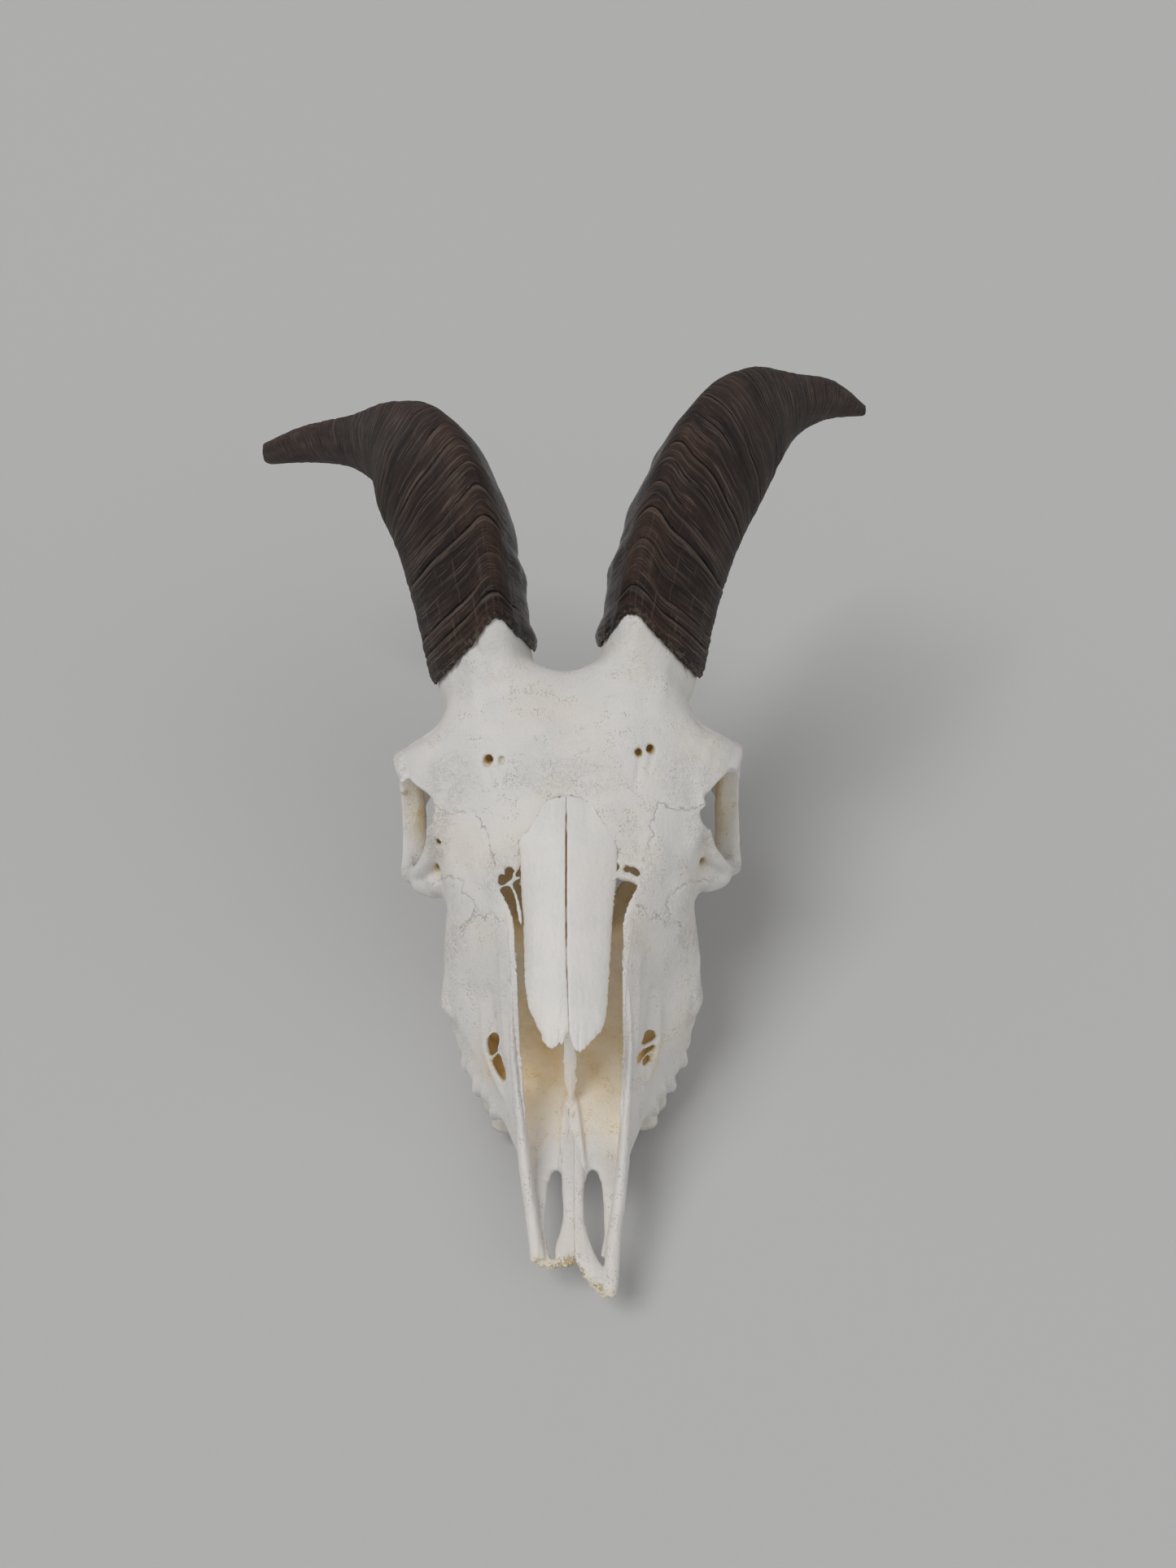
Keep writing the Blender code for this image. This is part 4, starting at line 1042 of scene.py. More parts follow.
# Each row: points of the picture, half width of the form in millimetres, its height.
FORMS_SEEN = (
    # grooves that run down from the nerve openings of the brow
    (((598, 940), (600, 952), (604, 964), (608, 978)), 1.1, -0.55),
    (((615, 938), (616, 950), (619, 966)), 0.8, -0.35),
    (((786, 927), (785, 940), (783, 955), (780, 970)), 1, -0.5),
    (((802, 924), (800, 936), (797, 950)), 0.9, -0.4),
    # rim of the nose opening, a raised lip with a groove outside it
    (((636, 1150), (639, 1200), (640, 1250), (640, 1310), (638, 1370)), 1, 0.35),
    (((629, 1140), (632, 1200), (633, 1260), (633, 1330)), 0.9, -0.35),
    (((762, 1150), (760, 1200), (760, 1250), (761, 1310), (763, 1370)), 1, 0.35),
    (((769, 1140), (767, 1200), (767, 1260), (767, 1330)), 0.9, -0.35),
    # hollow that leads into each cheek opening, and the ridge outside it
    (((600, 1222), (602, 1240), (604, 1258), (606, 1270)), 2.6, -0.9),
    (((803, 1222), (801, 1240), (799, 1256), (797, 1266)), 2.6, -0.9),
    (((590, 1240), (592, 1262), (596, 1290), (606, 1320), (618, 1345)), 1.8, 0.6),
    (((813, 1240), (811, 1262), (807, 1290), (799, 1318), (788, 1340)), 1.8, 0.6),
    (((614, 1180), (616, 1215), (617, 1245), (620, 1275), (625, 1310)), 1.6, 0.5),
    (((786, 1180), (785, 1215), (784, 1245), (782, 1275), (777, 1310)), 1.6, 0.5),
    # edge of the brow and of the tear bone in front of each eye
    (((520, 915), (535, 935), (540, 958), (536, 985)), 2.4, 0.6),
    (((880, 905), (868, 930), (862, 958), (866, 985)), 2.4, 0.6),
    (((548, 1010), (560, 1035), (566, 1060), (575, 1085)), 5, -0.7),
    (((845, 1010), (836, 1035), (830, 1060), (824, 1085)), 5, -0.7),
    # pits and soft ridges at the foot of the horns
    (((583, 776), (585, 790), (588, 802)), 0.8, -0.6),
    (((567, 800), (563, 812), (560, 824)), 0.9, -0.6),
    (((577, 812), (583, 840), (588, 872)), 3, 0.6),
    (((604, 806), (608, 840), (610, 880)), 4.5, -0.7),
    (((777, 768), (775, 778), (774, 790)), 0.8, -0.5),
    (((838, 800), (842, 815), (846, 830)), 0.9, -0.6),
    (((822, 806), (816, 836), (812, 868)), 3, 0.5),
    (((797, 800), (793, 840), (791, 880)), 4.5, -0.6),
    # crest from under the eye to the knob of the cheek
    (((528, 1080), (536, 1115), (542, 1160), (546, 1210), (549, 1248)), 2.6, 0.6),
    (((872, 1080), (866, 1115), (860, 1160), (856, 1210), (853, 1248)), 2.6, 0.6),
)
# Over the roots of the teeth: distance back, from the midline, height, and how far it swells.
TOOTH_ROOTS = (
    (65.5, 26, 18, 3.3), (70.5, 29, 22, 2.2), (75, 32, 18, 3.6), (79.5, 34, 23, 1.8),
    (84, 36.5, 19, 3.4), (90, 38, 20, 2.2), (97, 39.5, 20, 2.4), (104, 40, 19, 1.7),
    (112, 39.5, 20, 1.6), (121, 38, 20, 1.4),
)
# Others on both sides: centre, size, height, stretch along the three axes.
SWELLINGS = (
    ((43.5, 96, 38), 3.6, 1.2, (1, 1.4, 1)), ((41, 88, 33), 4.5, -1.1, (1, 0.9, 1.2)),
    ((34, 84, 52), 8, -1.2, (1, 1, 1)), ((26, 112, 84), 6, -0.5, (1, 1, 1)),
    ((33, 208, 76), 12, -1.4, (1, 1, 1)),
)
print("forms seen:", len(FORMS_SEEN), "roots:", len(TOOTH_ROOTS))

# %% Lift the skin
SUTURE_DEPTH = 0.22
SUTURE_WIDTH = 0.45
RIDGE_HEIGHT = 0.14
RIDGE_AWAY = 1.2  # distance of the ridges from the middle of their suture
RIDGE_WIDTH = 1.3
places = corners(cranium)
normals = directions(cranium)
lift = np.zeros(len(places))
wander = wave(places, 2.0) * 1.3 + wave(places, 0.9, 2.0) * 0.5
away = nearest_line(places, normals, sutures) + wander
near_seam = np.exp(-((np.abs(away) - RIDGE_AWAY) / RIDGE_WIDTH) ** 2)
lift -= SUTURE_DEPTH * np.exp(-(away / SUTURE_WIDTH) ** 2)
lift += RIDGE_HEIGHT * near_seam * (1 + wave(places, 1.6, 4.0))
for points, width, height in FORMS_SEEN:
    line = trace(skin_tree, points)
    far = distance_to(places, normals, line, width * 3)
    lift += height * np.exp(-(far / width) ** 2) * (1 + 0.35 * wave(places, 6.0, height))
for side in (1, -1):
    for y, x, z, height in TOOTH_ROOTS:
        lift += bump(places, (side * x, y, z), 2.8, height, (1.2, 0.8, 1.9))
    for (x, y, z), size, height, stretch in SWELLINGS:
        lift += bump(places, (side * x, y, z), size, height, stretch)
# The faint hammered look of bone.
lift += 0.22 * wave(places, 9.0, 3.0) + 0.12 * wave(places, 3.6, 5.0)
print("relief from", round(float(lift.min()), 2), "to", round(float(lift.max()), 2), "mm")

# %% [markdown]
# Weather and insects have eaten the skin rough in places, such as the root of the nose, the
# rims of the eyes and the nape. There winding furrows and pits are pressed in.

# %% Rough, worm-eaten ground
# Each row: centre, radii, how rough. Those of the second table lie on both sides.
ROUGH_SPOTS = (
    ((0, 139, 105), (20, 7, 12), 0.5), ((10, 146, 109), (26, 10, 12), 0.2),
    ((-38, 146, 98), (12, 10, 10), 0.55), ((38, 146, 98), (12, 9, 10), 0.45),
    ((-44, 136, 84), (10, 9, 9), 1), ((44, 136, 84), (8, 8, 8), 0.7),
    ((0, 236, 62), (34, 12, 18), 0.6), ((0, 60, 12), (40, 70, 5), 0.35),
)
ROUGH_PAIRS = (
    ((40, 110, 62), (9, 14, 12), 0.7), ((43, 95, 38), (7, 9, 8), 0.7),
    ((60, 140, 57), (7, 8, 7), 0.9), ((62, 172, 90), (6, 6, 8), 0.8),
    ((36, 222, 50), (8, 8, 14), 0.9), ((27, 173, 128), (16, 8, 8), 0.5),
    ((22, 112, 88), (8, 10, 8), 0.5), ((30, 69, 17), (6, 10, 8), 0.6),
)


def roughness(places):
    """How rough the bone is at every place, from 0 to 1."""
    spots = list(ROUGH_SPOTS)
    for (x, y, z), radii, amount in ROUGH_PAIRS:
        spots += [((side * x, y, z), radii, amount) for side in (1, -1)]
    rough = np.zeros(len(places))
    for centre, radii, amount in spots:
        rough = np.maximum(rough, amount * round_spot(places, centre, radii))
    return rough


rough = roughness(places)
worms = np.abs(wave(places, 1.9, 9.0) + 0.5 * wave(places, 4.0, 1.0))
lift += rough * (0.10 - 0.45 * np.clip(0.30 - worms, 0, 1))
pits = np.clip(wave(places, 1.2, 9.0) - 0.36, 0, 1)
lift -= (0.15 + 1.6 * rough) * pits
places = places + normals * lift[:, None]
print("rough corners:", int((rough > 0.1).sum()))

# %% [markdown]
# Last, the forehead rises to the edge of the nasal bones, and sinks a little under them, so
# that they lie in a shallow bed. Then the mesh is thinned out where it is flat.

# %% Fit the forehead to the nasal bones
CRANIUM_TRIANGLES = 190000
x, y = np.abs(places[:, 0]), places[:, 1]
left_edge = read_off(NASAL_SIDE["left"], y)
right_edge = read_off(NASAL_SIDE["right"], y)
beyond = x - np.where(places[:, 0] > 0, left_edge, right_edge)
meets = np.exp(-(np.clip(beyond, 0, None) / 4.5) ** 2) * np.clip((y - 117) / 3, 0, 1)
meets *= np.clip((136 - y) / 4, 0, 1) * (places[:, 2] > 84) * np.clip(normals[:, 2] * 3, 0, 1)
bed = np.clip(-beyond - 0.4, 0, 1)
target = nasal_height(np.minimum(x, x - beyond + 1.5), y) - 0.1 - bed
places[:, 2] += np.clip(target - places[:, 2], -2.5, 3) * meets
put_corners(cranium, places)
thin_out(cranium, CRANIUM_TRIANGLES)
print("cranium:", len(cranium.data.polygons), "triangles")

# %% [markdown]
# Bleaching whitens what the light and the peroxide reach; deep inside, the bone stays ochre,
# and the colour that shelter lays on below is also partly painted shade in the recesses.
# How far a corner lies inside is measured with fourteen rays from it: the share that hits
# bone nearby is its shelter. The materials read such values as attributes of the mesh, so
# the skull looks right from any side.

# %% Measure how sheltered each corner is
def hemisphere(count=14):
    """Directions spread evenly over a half ball round +Z."""
    turn = math.pi * (3 - math.sqrt(5))
    out = []
    for k in range(count):
        rise = 1 - (k + 0.5) / count * 0.95
        ring = math.sqrt(1 - rise * rise)
        out.append(Vector((ring * math.cos(k * turn), ring * math.sin(k * turn), rise)))
    return out


def shelter(shape, tree, reach=38.0):
    """For each corner of a shape, the share of rays that meet the tree's skin in reach."""
    rays = hemisphere()
    found = []
    for vert in shape.data.vertices:
        turn = vert.normal.to_track_quat("Z", "Y")
        start = vert.co + vert.normal * 0.4
        hits = sum(tree.ray_cast(start, turn @ ray, reach)[0] is not None for ray in rays)
        found.append(hits / len(rays))
    return np.array(found)


def even_out(shape, values, rounds=3):
    """Blur values over the mesh: each corner takes the mean of itself and its neighbours."""
    one, two, count = neighbours(shape)
    for _ in range(rounds):
        total = values + np.bincount(one, values[two], len(values))
        total += np.bincount(two, values[one], len(values))
        values = total / (count + 1)
    return values


def note(shape, name, values):
    """Keep a value for every corner as an attribute of the mesh."""
    layer = shape.data.attributes.new(name, "FLOAT", "POINT")
    layer.data.foreach_set("value", np.ascontiguousarray(values, np.float32))


bone_tree = tree_of(cranium)
inside = even_out(cranium, shelter(cranium, bone_tree), 10)
print("mean shelter:", round(float(inside.mean()), 3))

# %% [markdown]
# The strip on the partition lies deep but has bleached. Behind the eyes, in the braincase and
# behind the openings of the cheeks the bone is marked more sheltered, which paints it darker:
# painted shade over bone that kept some colour. In the nose the bone is marked to give off
# light: painted light that brightens the shade there.

# %% Note what the finish of the bone reads
places = corners(cranium)
normals = directions(cranium)
on_strip = (np.abs(places[:, 0] + 0.8) < 3.6) & (normals[:, 2] - normals[:, 1] > 0.7)
on_strip = on_strip & (places[:, 1] < 104) & (places[:, 2] > 21) & (places[:, 1] > 58)
inside = np.where(on_strip, 0.3 + 0.25 * inside, inside)
# Painted shade: bone behind each eye that faces forward is marked more sheltered, so it is painted
# darker cream.
for side in (1, -1):
    behind_eye = round_spot(places, (side * 58, 166, 68), (10, 13, 22)) * (normals[:, 1] < 0)
    inside = np.clip(inside + 0.22 * behind_eye, 0, 1)
# Painted shade: the inside of the braincase is marked fully sheltered, so it is painted dark.
BRAIN = np.array((0, 214, 60))
brain = round_spot(places, BRAIN, (23, 28, 20))
brain = brain * ((normals * (BRAIN - places)).sum(axis=1) > 0)
inside = np.maximum(inside, brain)
# Painted shade: the deeper a spot lies along the line of sight into a cheek opening, the more
# sheltered it is marked and the darker it is painted.
CHEEK_HOLLOWS = ((609, 1302), (795, 1294))
for u, v in CHEEK_HOLLOWS:
    spot, _ = seen_at(face_tree, u, v)
    line = np.array((spot - EYE).normalized())
    sunk = (places - np.array(spot)) @ line
    hollow = round_spot(places, np.array(spot) + line * 7, (9, 14, 12))
    inside = np.clip(inside + 0.45 * hollow * np.clip((sunk - 2.8) / 2, 0, 1), 0, 1)
inside = even_out(cranium, inside, 2)
note(cranium, "shelter", inside)
beside, back = np.abs(places[:, 0]), places[:, 1]
# Painted light: sheltered bone in the nose is marked to give off light, which brightens the shade
# there.
in_nose = np.clip((25 - beside) / 3, 0, 1) * np.clip((136 - back) / 6, 0, 1)
note(cranium, "painted_glow", in_nose * np.clip((inside - 0.3) / 0.5, 0, 1))
# Fine cracks in the floor of the nose.
FISSURES_SEEN = (
    ((692.4, 1356), (689.6, 1395), (688, 1434)), ((698.6, 1362), (698.6, 1384), (698.6, 1406)),
    ((705, 1359), (710, 1395), (716, 1434)), ((702, 1360), (704, 1384), (706, 1404)),
)
fissures = [trace(bone_tree, points) for points in FISSURES_SEEN]
note(cranium, "fissure", np.abs(nearest_line(places, normals, fissures)))
seam = nearest_line(places, normals, sutures)
note(cranium, "suture", seam)
note(cranium, "suture_near", np.abs(seam))
note(cranium, "rim", nearest_line(places, normals, rims))
note(cranium, "rough", roughness(places))
print("shelter from", round(float(inside.min()), 2), "to", round(float(inside.max()), 2))

# %% [markdown]
# ## The nasal bones
# The two nasal bones lie loose on the opening of the nose, pointed behind and frayed into
# lobes in front. Each is a thin slab: a ring of points goes over its top and back under it,
# and the rings run from the point behind to the lobes.

# %% Make the nasal bones
NASAL_ENDS = {  # how far forward the bone reaches, from the midline to its side edge
    "left": (60.6, 57.2, 56.2, 56.2, 57.0, 58.4, 59.7, 61.2, 62.6),
    "right": (62.0, 60.8, 58.2, 58.8, 57.8, 57.5, 57.7, 58.6, 60.6),
}
MEDIAN_SEAM = ((133, -0.2), (101, -0.7), (82, -0.85), (64, -0.3), (56, -0.3))
NASAL_COLUMNS = 36
NASAL_ROWS = 170
NASAL_POINT = 133.0  # distance back of its hind end
JAGS_BEHIND = 0.75  # reach of the teeth on its side edge: where it meets the forehead
JAGS_IN_FRONT = 0.28  # and along the gap


def nasal_bone(side, sign):
    """A slab through rings of points, each over the top of the bone and back under it."""
    across = np.linspace(0, 1, NASAL_COLUMNS)
    ends = np.array(NASAL_ENDS[side])
    reach = np.interp(across, np.linspace(0, 1, len(ends)), ends)
    split = np.array([noise.noise(Vector((k / 2.3, sign * 7, 0))) for k in range(NASAL_COLUMNS)])
    reach += 0.55 * split
    back = NASAL_POINT - 1.2 * across + 0.7 * np.array([
        noise.noise(Vector((k / 1.4, sign * 7, 3))) for k in range(NASAL_COLUMNS)])
    rings = []
    for share in np.linspace(0, 1, NASAL_ROWS):
        ys = back - (back - reach) * share
        y = float(ys.mean())
        wiggle = 0.14 * noise.noise(Vector((y / 2.5, 3, 1)))
        inner = (read_off(MEDIAN_SEAM, ys) + wiggle) * sign + 0.06
        outer = read_off(NASAL_SIDE[side], ys)
        jag = noise.noise(Vector((y / 0.9, sign * 4, 0)))
        jag += 0.7 * noise.noise(Vector((y / 2.4, sign, 5)))
        jag *= JAGS_BEHIND if y > 116 else JAGS_IN_FRONT
        xs = inner + across * (outer - inner) + jag * across ** 8
        droop = (1 - flush_share(ys)) * 0.7 * across ** 12
        fall = read_off(NASAL_TOP, ys) - nasal_height(xs, ys) + droop
        ripple = np.array([
            0.26 * noise.noise(Vector((x / 4.5, y / 22, sign * 2)))
            + 0.06 * noise.noise(Vector((x / 1.1, y / 9, sign * 3)))
            + 0.08 * noise.noise(Vector((x / 1.6, y / 1.8, sign * 5))) for x in xs])
        groove = 0.30 * np.exp(-((across - 0.33) * 26) ** 2) * np.clip((66 - ys) / 6, 0, 1)
        groove += 0.25 * np.exp(-((across - 0.62) * 24) ** 2) * np.clip((63 - ys) / 4, 0, 1)
        seam_side = 0.22 * np.exp(-across * 30)
        tops = read_off(NASAL_TOP, ys) - fall + ripple - groove - seam_side
        thick = (1.7 - 0.8 * across ** 4) * min(1.0, 0.5 + 8 * (1 - share))
        top = np.stack((xs, ys, tops), axis=1)
        under = np.stack((xs, ys + 0.2, tops - thick), axis=1)
        rounding = np.clip((share - 0.965) / 0.035, 0, 1) ** 2
        middle = (top + under) / 2 + np.array((0, 0.15, 0))
        top = top + (middle - top) * rounding * 0.9
        under = under + (middle - under) * rounding * 0.9
        rings.append(np.concatenate((top, under[::-1])) * np.array((sign, 1, 1)))
    return gather("nasal_bone_" + side, [loft(rings)])


nasals = {side: nasal_bone(side, sign) for side, sign in SIDES}
print("nasals:", [len(shape.data.polygons) for shape in nasals.values()])

# %% [markdown]
# ## The incisive bones
# Each is a fork: a bar that climbs beside the nose and rolls over at its top edge, a flat
# shelf, and an inner bar on the midline. They meet in the tip, which on the animal's right
# is broken off and shows its spongy inside.

# %% Make the incisive bones
# Stops are (distance from the midline, distance back, height, half height, half width).
INCISIVE_BAR = (
    (17.6, 88, 77.5, 1.2, 0.7), (18.4, 80, 68, 2.4, 0.9), (18.9, 74, 59.5, 3, 1.1),
    (18.9, 67, 49.5, 3.6, 1.3), (18.2, 60, 41, 4, 1.6), (17, 51, 33.5, 4.2, 1.9),
    (15.8, 41, 27.2, 4, 2.15), (14.4, 31, 23.3, 3.3, 2.15), (12.9, 22, 20.4, 2.8, 2.2),
    (11.8, 15, 18.4, 2.5, 2.4),
)
INCISIVE_SHELF = (
    (12.2, 57, 20.4, 1.2, 4.6), (12.3, 50, 21, 1.4, 4.6), (12.4, 44, 21.05, 1.45, 4.3),
    (12.4, 38, 20.7, 1.5, 3.9), (12.2, 33, 20, 1.4, 3.2), (11.9, 27, 18.7, 1.4, 2.6),
    (11.4, 20, 17.7, 1.4, 2.3), (10.2, 14, 16.8, 1.6, 2.4),
)
INNER_BAR = {
    "left": (
        (1.2, 56, 22.4, 1.2, 2.6), (1, 48, 22.4, 1.5, 2.8), (0.9, 40, 21.4, 1.7, 2.6),
        (0.6, 32, 19.9, 1.7, 2.4), (0.7, 26, 18.8, 1.7, 2.5), (1.2, 21, 18, 1.7, 3),
        (2.4, 16, 17.2, 1.7, 3.4), (4.4, 12, 16.7, 1.7, 3.4), (6.8, 8.2, 16.3, 1.9, 3.4),
        (8.8, 4.8, 15.7, 1.9, 2.9), (9.9, 2.4, 15.1, 1.1, 1.4),
    ),
    "right": (
        (1.6, 56, 22.4, 1.2, 2.8), (1.4, 48, 22.4, 1.5, 3.2), (1.2, 40, 21.4, 1.7, 3.1),
        (1.2, 32, 19.9, 1.7, 2.7), (1.2, 26, 18.8, 1.7, 2.7), (1.6, 21, 18, 1.7, 3.4),
        (2.6, 16.5, 17.2, 1.6, 3.7), (2.6, 13, 16.9, 1.5, 3), (2.6, 11.6, 16.6, 1, 2.2),
    ),
}


THIN = 0.4  # size of the cells of their melt, in millimetres


def incisive_bone(side, sign):
    """The fork, melted together, with a rough front where it broke. It is made on the left
    side of the midline and mirrored if it is the right one."""
    bar = list(INCISIVE_BAR)
    if side == "left":
        bar += [(11.4, 9, 17.0, 2.3, 2.3), (11.0, 4.5, 15.9, 1.9, 1.9), (10.4, 2.2, 15.2, 1.1, 1.2)]
        bridge = []
    else:
        bar += [(11.4, 13.4, 17.6, 2.1, 2.2)]
        bridge = [[(11.4, 14.4, 16.9, 2.0, 2.2), (9.2, 13.4, 16.5, 1.7, 1.7),
                   (7.2, 12.8, 16.3, 1.5, 1.6), (5.6, 13.2, 16.4, 1.2, 1.3)]]
    forms = [rod(stops) for stops in [bar, INCISIVE_SHELF, INNER_BAR[side]] + bridge]
    shape = melt(gather("incisive_bone_" + side, forms), THIN, relax=3)
    places = corners(shape)
    normals = directions(shape)
    x, y = places[:, 0], places[:, 1]
    if side == "left":
        broken = np.exp(-((y - 2.0 - 0.9 * np.maximum(9.5 - x, 0)) / 2.4) ** 2)
    else:
        broken = np.exp(-((y - 11.8) / 2.2) ** 2)
    folds = wave(places * np.array((1, 0.16, 0.6)), 1.3, sign)
    rough = 0.12 * wave(places, 5.0, sign) + 0.16 * folds
    rough += broken * (0.85 * wave(places, 1.3, sign * 3) + 0.5 * wave(places, 2.8, 2) - 0.1)
    places = places + normals * rough[:, None]
    places[:, 0] = np.maximum(places[:, 0], 0.0) * sign
    put_corners(shape, places)
    if sign < 0:
        shape.data.flip_normals()
    shape = keep_largest(shape)
    y, x = corners(shape)[:, 1], np.abs(corners(shape)[:, 0])
    start = 2.0 + 0.9 * np.maximum(9.5 - x, 0) if side == "left" else 12.0
    note(shape, "raw", np.clip(1.6 - np.abs(y - start) / 1.6, 0, 1))
    return shape


incisives = {side: incisive_bone(side, sign) for side, sign in SIDES}
print("incisives:", [len(shape.data.polygons) for shape in incisives.values()])

# %% [markdown]
# ## The horns
# A goat's horn grows from its base like a stack of paper cups, so its rings run parallel to
# its ragged lower edge: up over the keel in front and down both sides. The sheath is one
# sheet of cells: down the inside of the hollow, round the edge, and up the outside to the
# tip. Each corner knows how far along and round the horn it lies, and the relief is a
# function of these two.

# %% Cracks across the horns
# Each row: how far up from the edge, how deep (1 is a deep one), and between which angles
# round the horn it runs, from the keel at 0 to the outer side at 90 and the inner at -90.
# Those without angles run all round.
CRACKS = {
    "left": (
        (9.5, 1), (14, 0.5, 20, 120), (22, 0.3, -70, 60), (31, 1), (38, 0.35, -40, 50),
        (44, 0.4, 10, 140), (50.5, 0.7), (56, 0.3, -60, 40), (62, 0.5, 8, 60), (70, 0.7),
        (77, 0.35, -50, 120), (84, 0.45, -150, 70), (92, 1.2), (99, 0.4, -80, 60), (105, 0.5),
        (113, 0.6, -100, 90), (121, 0.5), (130, 0.6, -90, 120), (140, 0.5), (151, 0.5),
        (163, 0.4, -60, 150), (177, 0.4), (193, 0.3, -90, 90),
    ),
    "right": (
        (9, 0.9), (14, 1.1, 14, 110), (20, 0.3, -70, 60), (31, 1), (38.5, 0.5, -30, 80),
        (45, 0.35, -90, 40), (52, 0.6), (58, 0.8, 4, 36), (68, 0.6), (74, 0.35, -50, 110),
        (80, 1, -60, 40), (86, 0.5), (92, 0.6), (101, 0.6, -100, 110), (109, 0.5), (118, 0.6),
        (127, 0.5, -60, 150), (137, 0.5), (149, 0.5), (162, 0.4, -90, 120), (177, 0.4),
        (193, 0.3, -90, 90),
    ),
}
print("cracks:", {side: len(rows) for side, rows in CRACKS.items()})

# %% [markdown]
# Where growth stopped in winter there is a deep crack with a raised lip below it, and on the
# inner face a soft knob. Between the cracks run low swellings, rings about 2 mm apart and
# fine layers, and near the edge a weave of fibres. All of them wander and fade in and out.

# %% Relief of the horns
def cloud(x, y, z=0.0):
    """Soft noise over arrays of two coordinates."""
    flat = [noise.noise(Vector((a, b, z))) for a, b in zip(x.ravel(), y.ravel())]
    return np.array(flat).reshape(x.shape)


def between(angle, low, high, soft=14.0):
    """0 outside the angles from low to high, rising to 1 between them."""
    return np.clip((angle - low) / soft, 0, 1) * np.clip((high - angle) / soft, 0, 1)


def across_crack(gap, middle, reach):
    """1 where the distance from a crack is that of the middle, falling to 0 beside it."""
    return np.exp(-((gap - middle) / reach) ** 2)


RING_STEP = 2.3  # distance of the rings between the cracks, in millimetres


def horn_relief(side, along, angle, sign):
    """For distances along a horn and angles round it: the lane of growth, the height over
    the smooth horn, the signed distance from the nearest crack, and how deep that one is."""
    ca, sa = np.cos(angle) * 2.2, np.sin(angle) * 2.2
    wander = 1.1 * cloud(ca, sa + along / 70, sign) + 0.16 * cloud(ca * 5, sa * 5 + along / 30, 7)
    lane = along + wander - 11 * np.clip(np.sin(angle), 0, 1) ** 1.3 * np.clip(along / 70, 0, 1)
    degrees = np.degrees((angle + math.pi) % (2 * math.pi) - math.pi)
    inner = np.clip(-np.sin(angle + 0.15), 0, 1)
    height = np.zeros(along.shape)
    nearest = np.full(along.shape, 50.0)
    deepest = np.zeros(along.shape)
    for where, depth, *angles in CRACKS[side]:
        strength = depth * (between(degrees, *angles) if angles else 1.0)
        strength = strength * np.clip(0.85 + 0.9 * cloud(ca * 1.6, sa * 1.6, where), 0.15, 1.3)
        gap = lane - where
        # The crack, its lip, the hollow above it, and on the inner face the knob and its hollow.
        height -= strength * 0.62 * across_crack(gap, 0, 0.48)
        height += strength * 0.26 * across_crack(gap, -1.3, 1.1)
        height -= strength * 0.16 * across_crack(gap, 2.2, 2.0)
        height += strength * inner * 2.2 * across_crack(gap, -6.0, 3.8)
        height -= strength * inner * 0.9 * across_crack(gap, 1.0, 2.2)
        closer = (np.abs(gap) < np.abs(nearest)) & (strength > 0.05)
        nearest[closer] = gap[closer]
        deepest[closer] = strength[closer]
    height += 0.16 * cloud(lane / 1.7, ca * 0.5 + sa * 0.3, 3) + 0.14 * cloud(lane / 4.5, sa, 5)
    swell = 0.5 + cloud(ca * 1.2, sa * 1.2 + along / 12, 17)
    rings = np.sin(2 * math.pi * (lane + 0.3 * wander) / RING_STEP)
    height += 0.11 * np.clip(swell, 0.15, 1) * rings
    height += 0.40 * cloud(ca * 1.4, sa * 1.4 + along / 18, 13)
    weave = np.clip(1 - along / 55, 0, 1) * (1 - inner)
    height += 0.12 * weave * cloud(ca * 22, sa * 22 + along / 30, 11)
    return lane, height, nearest, deepest

# %% [markdown]
# The sheet is laid out in rows along the horn's path. A row is set out by the relief on the
# outside, or in by the wall in the hollow. Ever smaller rings close the blunt tip.

# %% Make the horn sheaths
ROW_STEP = 0.62  # distance of the rows on the outside, in millimetres
ROWS_INSIDE = 50
AROUND = 14  # corners of a row to each span of the cross-section
EDGE_WALL = 1.0  # thickness of the wall at the edge
SHEATH_WALL = 2.4  # and further up
TIP_SHARES = (0.985, 0.95, 0.9, 0.82, 0.72, 0.6, 0.46, 0.3, 0.15, 0.06)


